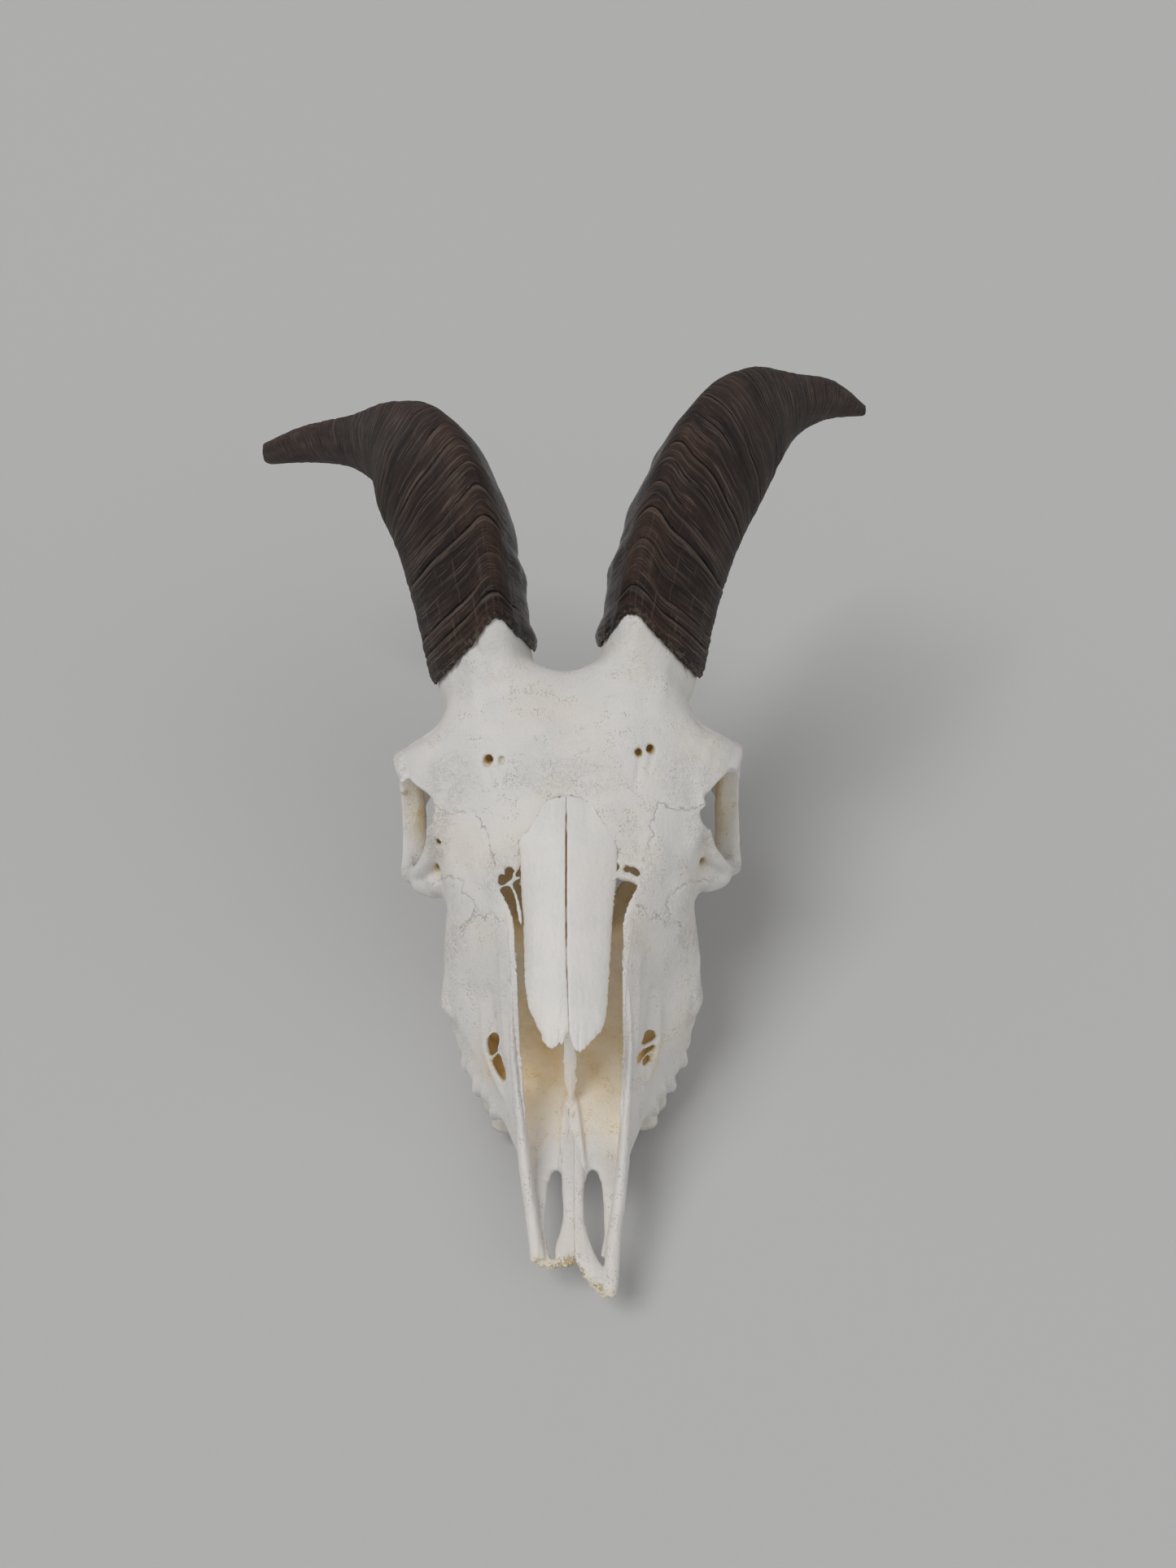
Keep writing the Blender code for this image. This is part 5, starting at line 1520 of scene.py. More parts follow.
def horn_sheath(side, sign):
    """One sheet: down the inside of the hollow, round the edge and up the outside."""
    distance, stops = horn_path(side)
    length = distance[-1]
    outline = glide(HORN_OUTLINE, AROUND, closed=True)
    edge = glide(np.array(SHEATH_EDGE, float)[:, None], AROUND, closed=True)[:, 0]
    count = len(outline)
    angle = np.linspace(0, 2 * math.pi, count, endpoint=False)
    ragged = 1.0 * cloud(np.cos(angle) * 11, np.sin(angle) * 11, sign)
    ragged += 0.8 * cloud(np.cos(angle) * 3.2, np.sin(angle) * 3.2, sign + 5)
    ragged += 0.5 * cloud(np.cos(angle) * 26, np.sin(angle) * 26, sign + 9)
    hollow, skin = np.linspace(0.5, 0, ROWS_INSIDE), np.linspace(0, 1, int(length / ROW_STEP))
    shares = np.concatenate((hollow, skin))
    outer = np.arange(len(shares)) >= ROWS_INSIDE
    where = edge + ragged * np.exp(-shares[:, None] * 60) + (length - edge) * shares[:, None]
    at = np.stack([np.interp(where, distance, column) for column in stops.T], axis=-1)
    along = shares[:, None] * (length - edge)
    angles = np.broadcast_to(angle, along.shape)
    lane, height, nearest, deepest = horn_relief(side, along, angles, sign)
    fade = np.clip((1 - shares[:, None]) * 12, 0, 1)
    ply = along + 1.6 * cloud(np.cos(angles) * 6, np.sin(angles) * 6, 3)
    ply = np.where(ply < 1.6, -0.55, np.where(ply < 3.6, -0.25, 0))
    height = height * fade + ply
    thicker = (SHEATH_WALL - EDGE_WALL) * (1 - np.exp(-along / 4))
    wall = EDGE_WALL + thicker + 3.0 * shares[:, None]
    inset = np.where(outer[:, None], np.exp(-along / 0.6) * 0.45 - height, wall)
    depth = np.maximum(at[..., 9] - inset, 0.3)
    width = np.maximum(at[..., 10] - inset, 0.3)
    to_keel, out = outline[:, 0], outline[:, 1]
    places = (at[..., :3] + (to_keel * depth)[..., None] * at[..., 3:6]
              + (out * width)[..., None] * at[..., 6:9])
    tip = places[-1].mean(axis=0)
    ahead = places[-1].mean(axis=0) - places[-4].mean(axis=0)
    ahead /= np.linalg.norm(ahead)
    blunt = 0.95 * np.linalg.norm(places[-1] - tip, axis=1).mean()
    caps = []
    for share in TIP_SHARES:
        ring = tip + (places[-1] - tip) * share + ahead * math.sqrt(1 - share ** 2) * blunt
        caps.append(ring)
    places = np.concatenate((places, caps)) * np.array((sign, 1, 1))
    shape = gather("horn_" + side, [loft(places)])
    # Every corner takes the values of its place in the rows, those of the tip the last row's.
    found = nearest_place(shape, places.reshape(-1, 3))
    found = np.where(found < along.size, found, along.size - count + found % count)
    for label, values in (("lane", lane), ("keelward", np.cos(angles)), ("along", along),
                          ("outward", np.sin(angles)), ("crack", nearest),
                          ("crack_depth", deepest)):
        note(shape, label, values.ravel()[found])
    print(shape.name, len(places), "rows of", count, "length", round(float(length)), "mm")
    return shape


horns = {side: horn_sheath(side, sign) for side, sign in SIDES}

# %% [markdown]
# ## The cheek teeth
# A goat's cheek tooth is a pillar with three ribs outside and two lobes inside. On its worn
# face hard enamel stands up in thin crescents round the softer, browner dentine.

# %% Outlines of the cheek teeth
# Name, length, width, distance of its middle from the midline, and height of its worn face.
TEETH = (
    ("premolar_2", 8, 10.5, 23.3, 6.2),
    ("premolar_3", 9, 11.2, 26.5, 4.2),
    ("premolar_4", 10, 11, 29, 2.2),
    ("molar_1", 13, 12.5, 30.5, 0.5),
    ("molar_2", 16, 13.5, 31, 0.0),
    ("molar_3", 18, 12.5, 30.5, 0.0),
)
TOOTH_ROW_FRONT = 62.5
JAW_EDGE = 12.0
# Outlines as shares of half the width (outwards) and half the length (back).
MOLAR = (
    (1, -1), (0.78, -0.55), (0.95, 0), (0.78, 0.55), (1, 1), (-0.45, 1), (-1, 0.6),
    (-1, 0.35), (-0.55, 0), (-1, -0.35), (-1, -0.6), (-0.45, -1),
)
PREMOLAR = (
    (1, -0.45), (0.93, 0), (1, 0.45), (0.62, 0.93), (0.1, 1), (-0.5, 0.9), (-0.93, 0.45),
    (-0.9, 0), (-0.93, -0.45), (-0.5, -0.9), (0.1, -1), (0.62, -0.93),
)
# The worn face from its middle outwards: share of the outline, and how far it is hollowed.
WORN_FACE = (
    (0.02, 0.7), (0.18, 0.7), (0.32, 0.55), (0.4, 0.1), (0.46, 0), (0.52, 0.1), (0.6, 0.55),
    (0.7, 0.7), (0.78, 0.6), (0.84, 0.35), (0.88, 0.08), (0.92, 0), (0.96, 0),
    (0.985, 0.05), (1, 0.3),
)
DEEPEST = 0.7
WALL_ENAMEL = 0.65  # how much the wall looks like bare enamel, which is 1
print("teeth a side:", len(TEETH))

# %% [markdown]
# A tooth is a loft of rings, from the middle of the worn face out to its edge and then up
# the wall into the jaw. At the end the face is bent: a valley runs across it between the lobes.

# %% Make the cheek teeth
def cheek_tooth(name, length, width, middle, worn, front, side, sign):
    """One crown; front is the distance back of its front side."""
    molar = name.startswith("molar")
    out, back = width / 2, length / 2
    outline = glide(np.array(MOLAR if molar else PREMOLAR) * (out, back), 6, closed=True)
    narrow = 0.93 if molar else 0.74
    rings, enamel, edge = [], [], []
    for share, dip in WORN_FACE:
        rings.append([(x * share * narrow, y * share * (narrow - 0.03), worn + dip)
                      for x, y in outline])
        enamel.append(1 - dip / DEEPEST)
        edge.append(min(max((share - 0.6) / 0.4, 0), 1))
    # Height, scale of the outline, and how much the ring follows the bent edge of the face.
    wall = ((worn + 0.5, narrow * 0.65 + 0.31, 1), (worn + 1.4, narrow * 0.35 + 0.64, 0.75),
            (worn + 3, 1.0, 0), (worn + 5.5, 1.01, 0), (JAW_EDGE, 0.99, 0),
            (JAW_EDGE + 3, 0.97, 0), (JAW_EDGE + 7, 0.90, 0))
    for z, scale, follow in wall:
        rings.append([(x * scale, y * (scale - 0.03), z) for x, y in outline])
        enamel.append(WALL_ENAMEL)
        edge.append(follow)
    rings = np.array(rings)
    edge = np.array(edge)[:, None]
    valley = 1 - np.abs(np.sin(np.pi * (2 if molar else 1) * (rings[..., 1] / length + 0.5)))
    rings[..., 2] += valley ** 1.3 * edge * (1.5 + 1.2 * rings[..., 0] / out)
    if not molar:
        rings[..., 2] += 1.9 * edge * (rings[..., 0] / out - 0.15) ** 2
    rings += (middle, front + length / 2, 0)
    rings[..., 0] *= sign
    shape = gather(f"{name}_crown_{side}", [loft(rings)])
    values = np.repeat(enamel, rings.shape[1])
    note(shape, "enamel", values[nearest_place(shape, rings.reshape(-1, 3))])
    return shape


teeth = {}
for side, sign in SIDES:
    front = TOOTH_ROW_FRONT
    for name, length, width, middle, worn in TEETH:
        teeth[f"{name}_{side}"] = cheek_tooth(name, length, width, middle, worn, front, side, sign)
        front += length
print("teeth:", len(teeth))

# %% [markdown]
# ## Finishes
# Every finish starts from the place on the piece in millimetres and from the values noted in
# its mesh. The helpers add nodes and wire them, one short line for each.

# %% Helpers for finishes
def wire(tree, kind, links=None, **settings):
    """Add a node, set it up, and feed its inputs from sockets or with values."""
    node = tree.nodes.new(kind)
    for key, value in settings.items():
        setattr(node, key, value)
    for name, source in (links or {}).items():
        if isinstance(source, bpy.types.NodeSocket):
            tree.links.new(source, node.inputs[name])
        else:
            node.inputs[name].default_value = source
    return node


def new_group(name, inputs, outputs):
    """A shader node group with named inputs and outputs: (name, kind, starting value)."""
    group = bpy.data.node_groups.new(name, "ShaderNodeTree")
    for label, kind, value in inputs:
        socket = group.interface.new_socket(label, in_out="INPUT", socket_type="NodeSocket" + kind)
        if value is not None:
            socket.default_value = value
    for label, kind in outputs:
        group.interface.new_socket(label, in_out="OUTPUT", socket_type="NodeSocket" + kind)
    return group, group.nodes.new("NodeGroupInput"), group.nodes.new("NodeGroupOutput")


def maths(tree, operation, one, two=0.0):
    """The result of a sum, product and so on of one or two values."""
    return wire(tree, "ShaderNodeMath", {0: one, 1: two}, operation=operation).outputs[0]


def times(tree, *values):
    """Product of several values."""
    total = values[0]
    for value in values[1:]:
        total = maths(tree, "MULTIPLY", total, value)
    return total


def centred(tree, value, amount):
    """Noise from 0 to 1 turned into noise around 0 with the given reach."""
    return times(tree, maths(tree, "SUBTRACT", value, 0.5), amount * 2)


def ramp(tree, value, low, high):
    """0 below low, 1 above high, smooth between."""
    return wire(tree, "ShaderNodeMapRange", {"Value": value, "From Min": low, "From Max": high},
                interpolation_type="SMOOTHSTEP").outputs["Result"]


def blend(tree, share, one, two):
    """The first colour where share is 0, the second where it is 1."""
    return wire(tree, "ShaderNodeMix", {0: share, 6: one, 7: two}, data_type="RGBA").outputs[2]


def tint(red, green, blue):
    """An opaque colour."""
    return (red, green, blue, 1.0)


def attribute(tree, name):
    """A value that was noted in the mesh."""
    return wire(tree, "ShaderNodeAttribute", attribute_name=name).outputs["Fac"]


def in_millimetres(tree):
    """The place on the piece, in millimetres of the frame."""
    place = tree.nodes.new("ShaderNodeTexCoord").outputs["Object"]
    return wire(tree, "ShaderNodeVectorMath", {0: place, "Scale": 1000.0},
                operation="SCALE").outputs[0]


def stretched(tree, place, scale):
    """The place, stretched along an axis where its scale is under 1."""
    return wire(tree, "ShaderNodeMapping", {"Vector": place, "Scale": scale}).outputs[0]


def speckle(tree, place, size, detail=2.0, rough=0.5, distortion=0.0):
    """Noise with features of about the given size."""
    return wire(tree, "ShaderNodeTexNoise", {
        "Vector": place, "Scale": 1.0 / size, "Detail": detail, "Roughness": rough,
        "Distortion": distortion}).outputs["Fac"]

# %% [markdown]
# Three effects come back in several finishes, so they are node groups: a mottled colour,
# small pores that gather in patches, and fine fibres that run back along the bone.

# %% Shared effects
mottle, given, result = new_group(
    "mottle", (("Place", "Vector", None), ("Light", "Color", tint(0.8, 0.8, 0.8)),
               ("Dark", "Color", tint(0.6, 0.6, 0.6)), ("Size", "Float", 10.0)),
    (("Color", "Color"),))
wide = wire(mottle, "ShaderNodeTexNoise", {
    "Vector": given.outputs["Place"],
    "Scale": maths(mottle, "DIVIDE", 1.0, given.outputs["Size"]), "Detail": 5.0})
share = ramp(mottle, wide.outputs["Fac"], 0.36, 0.66)
mottle.links.new(blend(mottle, share, given.outputs["Dark"], given.outputs["Light"]),
                 result.inputs["Color"])

pores, given, result = new_group(
    "pores", (("Place", "Vector", None), ("Size", "Float", 1.0), ("Amount", "Float", 0.5)),
    (("Mask", "Float"),))
cells = wire(pores, "ShaderNodeTexVoronoi", {
    "Vector": given.outputs["Place"],
    "Scale": maths(pores, "DIVIDE", 1.0, given.outputs["Size"]), "Randomness": 1.0})
patch = speckle(pores, given.outputs["Place"], 6, 2)
limit = maths(pores, "MULTIPLY", ramp(pores, patch, 0.42, 0.7), given.outputs["Amount"])
hole = ramp(pores, maths(pores, "SUBTRACT", cells.outputs["Distance"], limit), 0.05, -0.08)
pores.links.new(hole, result.inputs["Mask"])

fibres, given, result = new_group(
    "fibres", (("Place", "Vector", None), ("Size", "Float", 0.5)), (("Value", "Float"),))
fine = wire(fibres, "ShaderNodeTexNoise", {
    "Vector": stretched(fibres, given.outputs["Place"], (1, 0.12, 0.35)),
    "Scale": maths(fibres, "DIVIDE", 1.0, given.outputs["Size"]), "Detail": 3.0})
fibres.links.new(fine.outputs["Fac"], result.inputs["Value"])


def effect(tree, group, links):
    """One of the shared effects, put to work in a finish."""
    return wire(tree, "ShaderNodeGroup", links, node_tree=group).outputs[0]


def new_finish(name, roughness, **constants):
    """A material with its shader and the place in millimetres."""
    material = bpy.data.materials.new(name)
    material.use_nodes = True
    tree = material.node_tree
    shader = tree.nodes["Principled BSDF"]
    shader.inputs["Roughness"].default_value = roughness
    for label, value in constants.items():
        shader.inputs[label.replace("_", " ")].default_value = value
    return material, tree, shader, in_millimetres(tree)


def relief(tree, shader, height, distance, strength=1.0):
    """Feed a height in millimetres into the shader's normal."""
    bump_node = wire(tree, "ShaderNodeBump", {
        "Height": height, "Distance": distance * MM, "Strength": strength})
    tree.links.new(bump_node.outputs["Normal"], shader.inputs["Normal"])


print("effects:", [group.name for group in bpy.data.node_groups])

# %% [markdown]
# Bleached bone is chalky white, and the more sheltered a spot is, the more it is painted
# cream, yellow and ochre: partly bone that bleaching missed, partly painted shade. Over that
# come thin brown seams, pores, and dull furrows on the rough ground. In the nose it gives off
# a little light: painted light that brightens the shade there.

# %% Bone
WHITE = tint(0.80, 0.77, 0.735)
COOL = tint(0.745, 0.727, 0.705)
WARM = tint(0.785, 0.735, 0.66)
CREAM = tint(0.78, 0.69, 0.53)
YELLOW = tint(0.66, 0.47, 0.21)
OCHRE = tint(0.53, 0.345, 0.125)
SHADE_AND_STAIN_BROWN = tint(0.23, 0.12, 0.03)
SEAM_BROWN = tint(0.38, 0.29, 0.19)
BLACK = tint(0, 0, 0)
# The bone's emission is the painted light in the nose, wired below.
bone, tree, shader, place = new_finish("bleached_bone", 0.62, Emission_Strength=0.26)
skin = effect(tree, mottle, {"Place": place, "Light": WHITE, "Dark": COOL, "Size": 16})
warm = times(tree, ramp(tree, speckle(tree, place, 24, 3), 0.48, 0.68), 0.6)
skin = blend(tree, warm, skin, WARM)
broken_up = ramp(tree, speckle(tree, place, 8, 3), 0.30, 0.56)
rough = times(tree, attribute(tree, "rough"), broken_up)
raw = attribute(tree, "raw")
inside = attribute(tree, "shelter")
# Colour by shelter, from cream to ochre with brown flecks in the deepest places: partly bone that
# the bleach missed, partly painted shade in the recesses.
patchy = maths(tree, "ADD", inside, centred(tree, speckle(tree, place, 6, 4), 0.12))
colour = blend(tree, times(tree, ramp(tree, patchy, 0.34, 0.62), 0.85), skin, CREAM)
colour = blend(tree, ramp(tree, patchy, 0.52, 0.80), colour, YELLOW)
colour = blend(tree, ramp(tree, patchy, 0.70, 0.90), colour, OCHRE)
flecks = ramp(tree, speckle(tree, place, 3, 3), 0.50, 0.60)
deep = times(tree, ramp(tree, patchy, 0.80, 0.98), flecks)
colour = blend(tree, times(tree, deep, 0.35), colour, SHADE_AND_STAIN_BROWN)
wiggle = maths(tree, "ADD", centred(tree, speckle(tree, place, 2.4, 2), 2),
               centred(tree, speckle(tree, place, 0.7, 2), 0.8))
line = maths(tree, "ABSOLUTE", maths(tree, "ADD", attribute(tree, "suture"), wiggle))
near = ramp(tree, attribute(tree, "suture_near"), 1.9, 1.3)
breaks = ramp(tree, speckle(tree, place, 3.5, 2), 0.36, 0.50)
seam = times(tree, ramp(tree, line, 0.24, 0.08), near, breaks)
sway = centred(tree, speckle(tree, place, 3), 0.4)
from_rim = maths(tree, "ABSOLUTE", maths(tree, "ADD", attribute(tree, "rim"), sway))
rim_line = ramp(tree, from_rim, 0.22, 0.05)
colour = blend(tree, times(tree, seam, 0.22), colour, SEAM_BROWN)
colour = blend(tree, times(tree, rim_line, 0.12), colour, SEAM_BROWN)
fissure = times(tree, ramp(tree, attribute(tree, "fissure"), 0.42, 0.12),
                ramp(tree, attribute(tree, "painted_glow"), 0, 0.02),
                ramp(tree, speckle(tree, place, 2.2, 2), 0.30, 0.42))
colour = blend(tree, times(tree, fissure, 0.6), colour, SEAM_BROWN)
pore = effect(tree, pores, {"Place": place, "Size": 0.85, "Amount": 0.32})
sponge = times(tree, effect(tree, pores, {"Place": place, "Size": 0.9, "Amount": 0.6}), raw)
colour = blend(tree, times(tree, pore, 0.3), colour, CREAM)
colour = blend(tree, times(tree, raw, 0.7), colour, CREAM)
colour = blend(tree, times(tree, sponge, 0.8), colour, YELLOW)
squiggle = centred(tree, speckle(tree, place, 2.2, 1.5, 0.5, 1.2), 1)
worm = ramp(tree, maths(tree, "ABSOLUTE", squiggle), 0.07, 0)
colour = blend(tree, times(tree, worm, rough, 0.25), colour, WARM)
tree.links.new(colour, shader.inputs["Base Color"])
# Painted light: the bone in the nose glows in its own colour, which brightens the shade there.
painted_glow = blend(tree, attribute(tree, "painted_glow"), BLACK, colour)
tree.links.new(painted_glow, shader.inputs["Emission Color"])
thread = effect(tree, fibres, {"Place": place, "Size": 0.6})
grainy = maths(tree, "ADD", 0.75, times(tree, rough, 1.6))
grain = times(tree, speckle(tree, place, 1.1, 5, 0.62), grainy)
height = maths(tree, "ADD", times(tree, thread, 0.30), grain)
height = maths(tree, "SUBTRACT", height, times(tree, worm, rough, 0.45))
for hollow, deep in ((pore, 0.6), (seam, 0.7), (rim_line, 0.3), (sponge, 2.0)):
    height = maths(tree, "SUBTRACT", height, times(tree, hollow, deep))
relief(tree, shader, height, 0.40, 0.9)
print("bone nodes:", len(tree.nodes))

# %% [markdown]
# The nasal bones are denser, so they are whiter and a little glossier. A brown stain sits in
# the seam between them, and their frayed rim is creamy.

# %% Nasal bone
SEAM_STAIN = tint(0.30, 0.14, 0.055)
nasal_finish, tree, shader, place = new_finish("smooth_nasal_bone", 0.48)
skin = effect(tree, mottle, {"Place": place, "Light": WHITE, "Dark": COOL, "Size": 18})
colour = blend(tree, ramp(tree, attribute(tree, "fray"), 0.55, 1.2), skin, CREAM)
stain = times(tree, ramp(tree, attribute(tree, "seam"), 0.30, 0.75),
              ramp(tree, speckle(tree, place, 9, 2), 0.30, 0.52))
colour = blend(tree, stain, colour, SEAM_STAIN)
tree.links.new(colour, shader.inputs["Base Color"])
thread = effect(tree, fibres, {"Place": place, "Size": 0.7})
grain = times(tree, speckle(tree, place, 1.2, 4), 0.8)
height = maths(tree, "ADD", times(tree, thread, 0.25), grain)
relief(tree, shader, height, 0.28, 0.8)
print("nasal bone nodes:", len(tree.nodes))

# %% [markdown]
# Enamel is hard, glossy and nearly white; the dentine between its crescents is brown. Stains
# run down the wall of the crown in streaks, so their noise is stretched upwards.

# %% Tooth
WALL_LIGHT = tint(0.79, 0.765, 0.715)
WALL_DARK = tint(0.73, 0.68, 0.59)
DENTINE = tint(0.42, 0.31, 0.19)
ENAMEL = tint(0.84, 0.82, 0.77)
TOOTH_STAIN = tint(0.50, 0.39, 0.25)
tooth_finish, tree, shader, place = new_finish("worn_tooth", 0.35, Coat_Weight=0.15)
face = effect(tree, mottle, {"Place": place, "Light": WALL_LIGHT, "Dark": WALL_DARK, "Size": 4})
enamel = attribute(tree, "enamel")
colour = blend(tree, ramp(tree, enamel, 0.5, 0.1), face, DENTINE)
colour = blend(tree, ramp(tree, enamel, 0.8, 1), colour, ENAMEL)
streaks = speckle(tree, stretched(tree, place, (1, 1, 0.25)), 1.6, 3)
stain = times(tree, ramp(tree, streaks, 0.56, 0.72), 0.5)
colour = blend(tree, stain, colour, TOOTH_STAIN)
tree.links.new(colour, shader.inputs["Base Color"])
relief(tree, shader, speckle(tree, place, 0.5, 3), 0.12, 0.5)
print("tooth nodes:", len(tree.nodes))

# %% [markdown]
# Horn is nearly black-brown. Its colour follows its growth: each fine layer has its own
# tone, the cracks are painted black as the shade inside them, and the raised lips are painted
# pale as highlights. On the face that looks at the other horn it is smoother and glossier,
# and painted greyer and darker: partly its own tone, partly painted shade and sheen.

# %% Horn
horn_finish, tree, shader, place = new_finish("ringed_horn", 0.5, Specular_IOR_Level=0.32)
along = attribute(tree, "along")
lane = attribute(tree, "lane")
keelward = attribute(tree, "keelward")
outward = attribute(tree, "outward")
crack = attribute(tree, "crack")
crack_depth = attribute(tree, "crack_depth")


def ring_space(across):
    """Coordinates in which the rings are flat layers, a little uneven round the horn."""
    return wire(tree, "ShaderNodeCombineXYZ", {
        0: lane, 1: times(tree, keelward, across), 2: times(tree, outward, across)}).outputs[0]


strands = wire(tree, "ShaderNodeCombineXYZ", {
    0: times(tree, along, 0.07), 1: times(tree, keelward, 24.0),
    2: times(tree, outward, 24.0)}).outputs[0]
hair_lines = speckle(tree, ring_space(0.60), 0.30, 2, 0.55)
lines = speckle(tree, ring_space(0.45), 0.62, 2, 0.55)
bands = speckle(tree, ring_space(3), 4.5, 3, 0.55)
striae = speckle(tree, strands, 0.9, 3, 0.6)
patches = speckle(tree, place, 15, 3)
DARK_HORN = tint(0.0135, 0.0075, 0.0062)
BROWN_HORN = tint(0.043, 0.0212, 0.0148)
TAN_HORN = tint(0.072, 0.037, 0.023)
PALE_LINE = tint(0.185, 0.135, 0.108)
RED_BROWN = tint(0.066, 0.022, 0.012)
OUTER_DARK = tint(0.0125, 0.006, 0.0046)
INNER_GREY_AND_SHADE = tint(0.022, 0.022, 0.025)
CRACK_SHADE = tint(0.003, 0.0025, 0.002)
FRAYED_EDGE = tint(0.19, 0.15, 0.10)
WORN_TIP = tint(0.10, 0.088, 0.075)
MATT = tint(0.56, 0.56, 0.56)
GLOSSY = tint(0.25, 0.25, 0.25)
base = blend(tree, ramp(tree, bands, 0.34, 0.64), DARK_HORN, BROWN_HORN)
base = blend(tree, times(tree, ramp(tree, patches, 0.45, 0.70), 0.55), base, TAN_HORN)
warm = ramp(tree, along, 120, 205)
base = blend(tree, times(tree, warm, 0.65), base, RED_BROWN)
outer_face = ramp(tree, outward, 0.30, 0.85)
base = blend(tree, times(tree, outer_face, 0.5), base, OUTER_DARK)
# Painted shade and sheen, over some of the horn's own tone: the inner face is painted darker and
# greyer.
inner_face = ramp(tree, maths(tree, "ADD", outward, times(tree, keelward, 0.10)), -0.10, -0.50)
base = blend(tree, times(tree, inner_face, 0.82), base, INNER_GREY_AND_SHADE)
base = blend(tree, times(tree, ramp(tree, hair_lines, 0.50, 0.36), 0.60), base, DARK_HORN)
shown = ramp(tree, speckle(tree, ring_space(2), 6, 2), 0.36, 0.58)
base = blend(tree, times(tree, ramp(tree, hair_lines, 0.57, 0.66), 0.52), base, PALE_LINE)
base = blend(tree, times(tree, ramp(tree, lines, 0.58, 0.65), shown, 0.50), base, PALE_LINE)
woven = times(tree, ramp(tree, striae, 0.56, 0.70), ramp(tree, along, 55, 8))
base = blend(tree, times(tree, woven, 0.36), base, PALE_LINE)
# Painted highlight: the raised lip below each crack is painted pale, as if it caught the light.
lip_highlight = times(tree, ramp(tree, crack, -2, -0.9), ramp(tree, crack, -0.25, -0.6), crack_depth, 0.45)
base = blend(tree, lip_highlight, base, PALE_LINE)
# Painted shade: each crack is painted near black, the shade inside it.
jitter = centred(tree, speckle(tree, place, 0.8, 2), 0.35)
breadth = maths(tree, "ADD", times(tree, crack_depth, 0.34), 0.03)
split = maths(tree, "DIVIDE", maths(tree, "ABSOLUTE", maths(tree, "ADD", crack, jitter)), breadth)
split = times(tree, ramp(tree, split, 1, 0.45), ramp(tree, crack_depth, 0.10, 0.35))
base = blend(tree, split, base, CRACK_SHADE)
tatters = ramp(tree, speckle(tree, place, 1.8, 4), 0.50, 0.64)
frayed = times(tree, ramp(tree, along, 5, 0.8), tatters, 0.55)
base = blend(tree, frayed, base, FRAYED_EDGE)
base = blend(tree, ramp(tree, along, 242, 262), base, WORN_TIP)
tree.links.new(base, shader.inputs["Base Color"])
gloss = blend(tree, inner_face, MATT, GLOSSY)
tree.links.new(gloss, shader.inputs["Roughness"])
coarser = maths(tree, "ADD", 0.35, times(tree, ramp(tree, along, 60, 5), 0.9))
height = maths(tree, "ADD", hair_lines, times(tree, lines, 0.7))
height = maths(tree, "ADD", height, times(tree, striae, coarser))
height = maths(tree, "SUBTRACT", height, times(tree, split, 1.8))
relief(tree, shader, height, 0.60, 1.0)
print("horn nodes:", len(tree.nodes))

# %% [markdown]
# ## Putting it together
# The loose bones still lack the values that their finishes read: how sheltered the incisive
# bones lie, and on the nasal bones the frayed rim and the stained seam.

# %% Note what the finishes of the loose bones read
NO_SEAM = 6.0  # a distance at which no seam is drawn
# Their shelter also paints the incisive bones darker in the bone finish: partly stain, partly
# painted shade.
for side, shape in incisives.items():
    note(shape, "shelter", 0.75 * even_out(shape, shelter(shape, bone_tree), 2))
    for label in ("suture", "suture_near", "rim"):
        note(shape, label, np.full(len(shape.data.vertices), NO_SEAM))
for side, sign in SIDES:
    shape = nasals[side]
    spots = corners(shape)
    y, x = spots[:, 1], spots[:, 0] * sign
    front = np.clip((61 - y) / 5, 0, 1)
    rim = np.clip(1 - (read_off(NASAL_SIDE[side], y) - x) / 1.2, 0, 1)
    note(shape, "fray", np.clip(0.6 * front + rim, 0, 1.2))
    gap = np.abs(x - read_off(MEDIAN_SEAM, y) * sign)
    note(shape, "seam", np.clip(1.3 - gap / 0.45, 0, 1) * np.clip((y - 66) / 14, 0, 1)
         * np.clip((129 - y) / 3, 0, 1))
print("noted on:", [shape.name for shape in (*incisives.values(), *nasals.values())])

# %% [markdown]
# Every piece is scaled and moved to its place in its mesh, takes its finish, rides on the
# one body, and stands for the CAD node that it replaces.

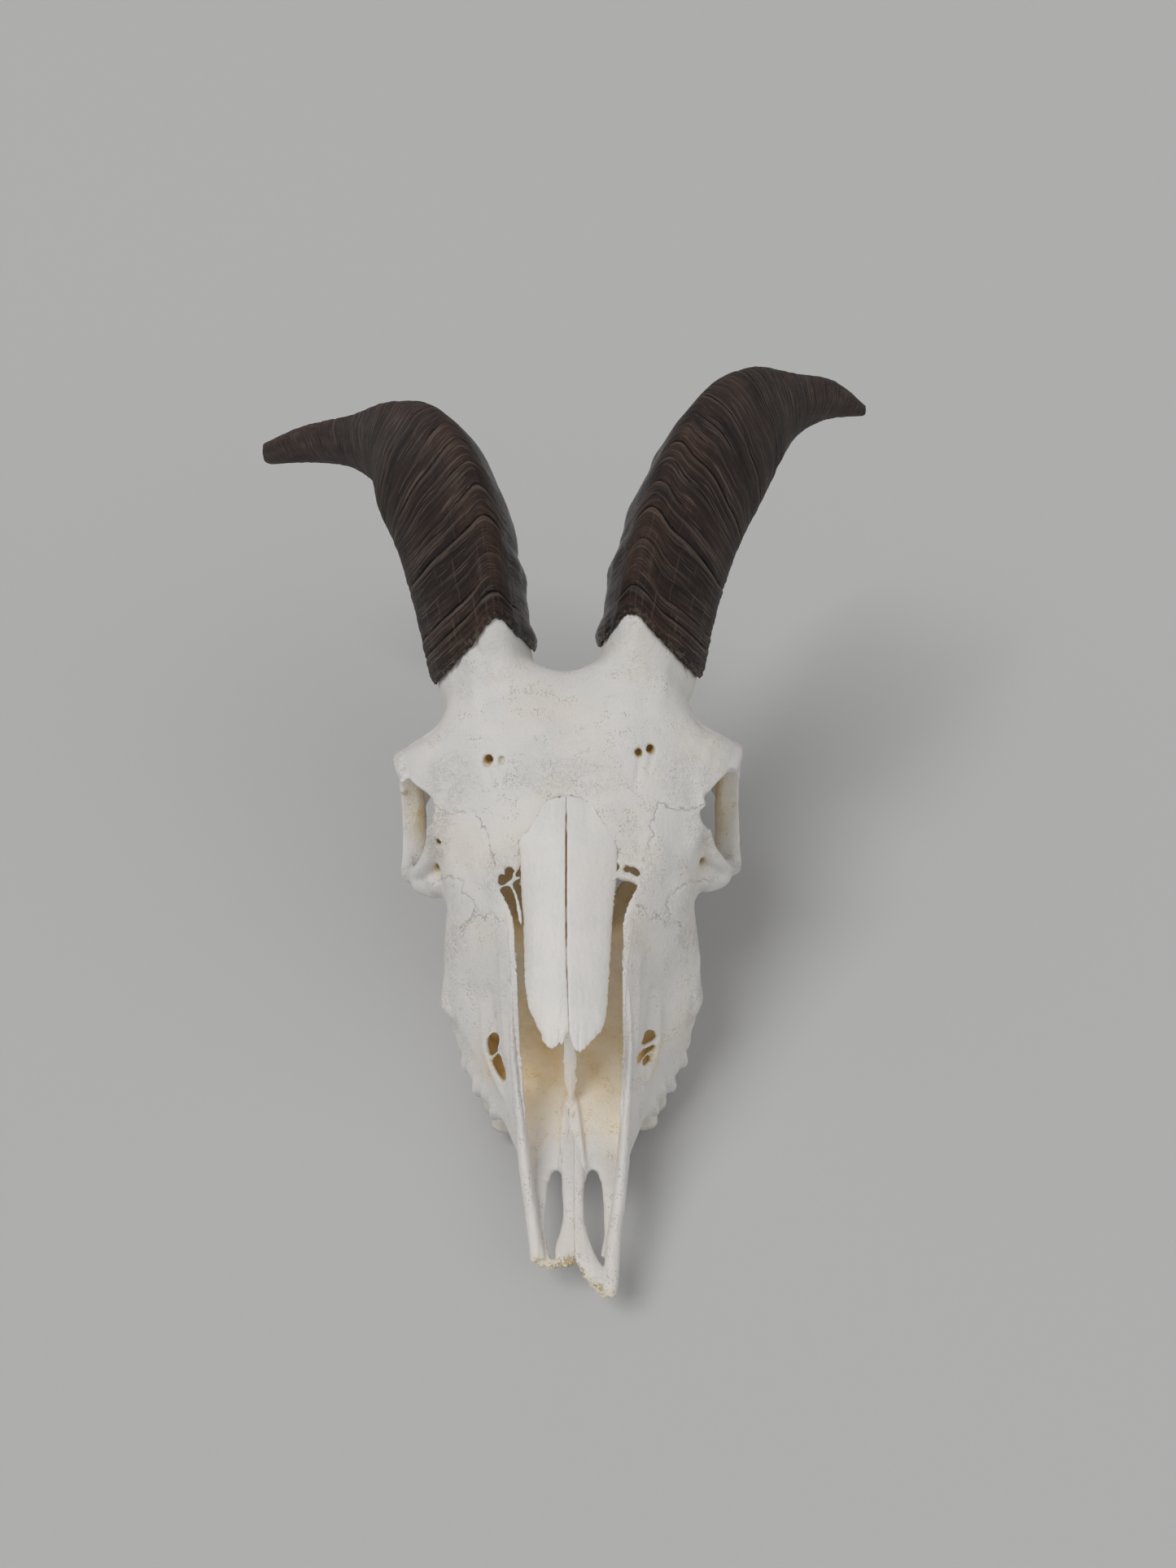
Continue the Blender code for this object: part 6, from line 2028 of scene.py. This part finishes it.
# %% Place the pieces
def place_piece(shape, finish, node_name):
    """Bring a piece from skull millimetres to the frame and hand it over."""
    shape.data.transform(Matrix.Translation(HOME) @ Matrix.Scale(MM, 4))
    put_corners(shape, np.clip(corners(shape), cad_low, cad_high))
    shape.data.shade_smooth()
    shape.data.materials.clear()
    shape.data.materials.append(finish)
    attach(shape, "root")
    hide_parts(node_name)


place_piece(cranium, bone, "cranium")
for side, _ in SIDES:
    place_piece(nasals[side], nasal_finish, "nasal_" + side)
    place_piece(incisives[side], bone, "incisive_" + side)
    place_piece(horns[side], horn_finish, "horn_sheath_" + side)
for node_name, shape in teeth.items():
    place_piece(shape, tooth_finish, node_name)
print("pieces:", 1 + len(nasals) + len(incisives) + len(horns) + len(teeth))

# %% [markdown]
# The floor is a plain pale sheet. A broad soft light from the upper left and a weak one from
# the right bring out the relief, and the sky, paler at the horizon, fills the shadows.

# %% Floor, light and surroundings
FLOOR_GREY = tint(0.58, 0.58, 0.575)
HORIZON = tint(0.44, 0.44, 0.437)
OVERHEAD = tint(0.29, 0.29, 0.29)
floor_form = bmesh.new()
bmesh.ops.create_grid(floor_form, x_segments=1, y_segments=1, size=40)
floor = gather("floor", [floor_form])
floor_finish, tree, shader, place = new_finish("pale_floor", 0.85)
shader.inputs["Base Color"].default_value = FLOOR_GREY
floor.data.materials.append(floor_finish)


def soft_sun(name, towards, breadth, strength):
    """Even light from one side of the room; its breadth in degrees softens the shadows."""
    light = bpy.data.lights.new(name, "SUN")
    light.angle = math.radians(breadth)
    light.energy = strength
    shape = bpy.data.objects.new(name, light)
    bpy.context.scene.collection.objects.link(shape)
    shape.rotation_euler = Vector(towards).to_track_quat("Z", "Y").to_euler()


soft_sun("key", (-0.50, -0.22, 1.0), 32, 1.2)
soft_sun("fill", (0.9, -0.8, 0.9), 60, 0.45)
world = bpy.data.worlds.new("studio")
world.use_nodes = True
sky = world.node_tree
direction = sky.nodes.new("ShaderNodeTexCoord").outputs["Generated"]
rise = wire(sky, "ShaderNodeSeparateXYZ", {0: direction}).outputs["Z"]
sky_colour = blend(sky, ramp(sky, rise, 0, 0.35), HORIZON, OVERHEAD)
sky.links.new(sky_colour, sky.nodes["Background"].inputs["Color"])
bpy.context.scene.world = world
bpy.context.scene.view_settings.view_transform = "Standard"
print("view transform:", bpy.context.scene.view_settings.view_transform)
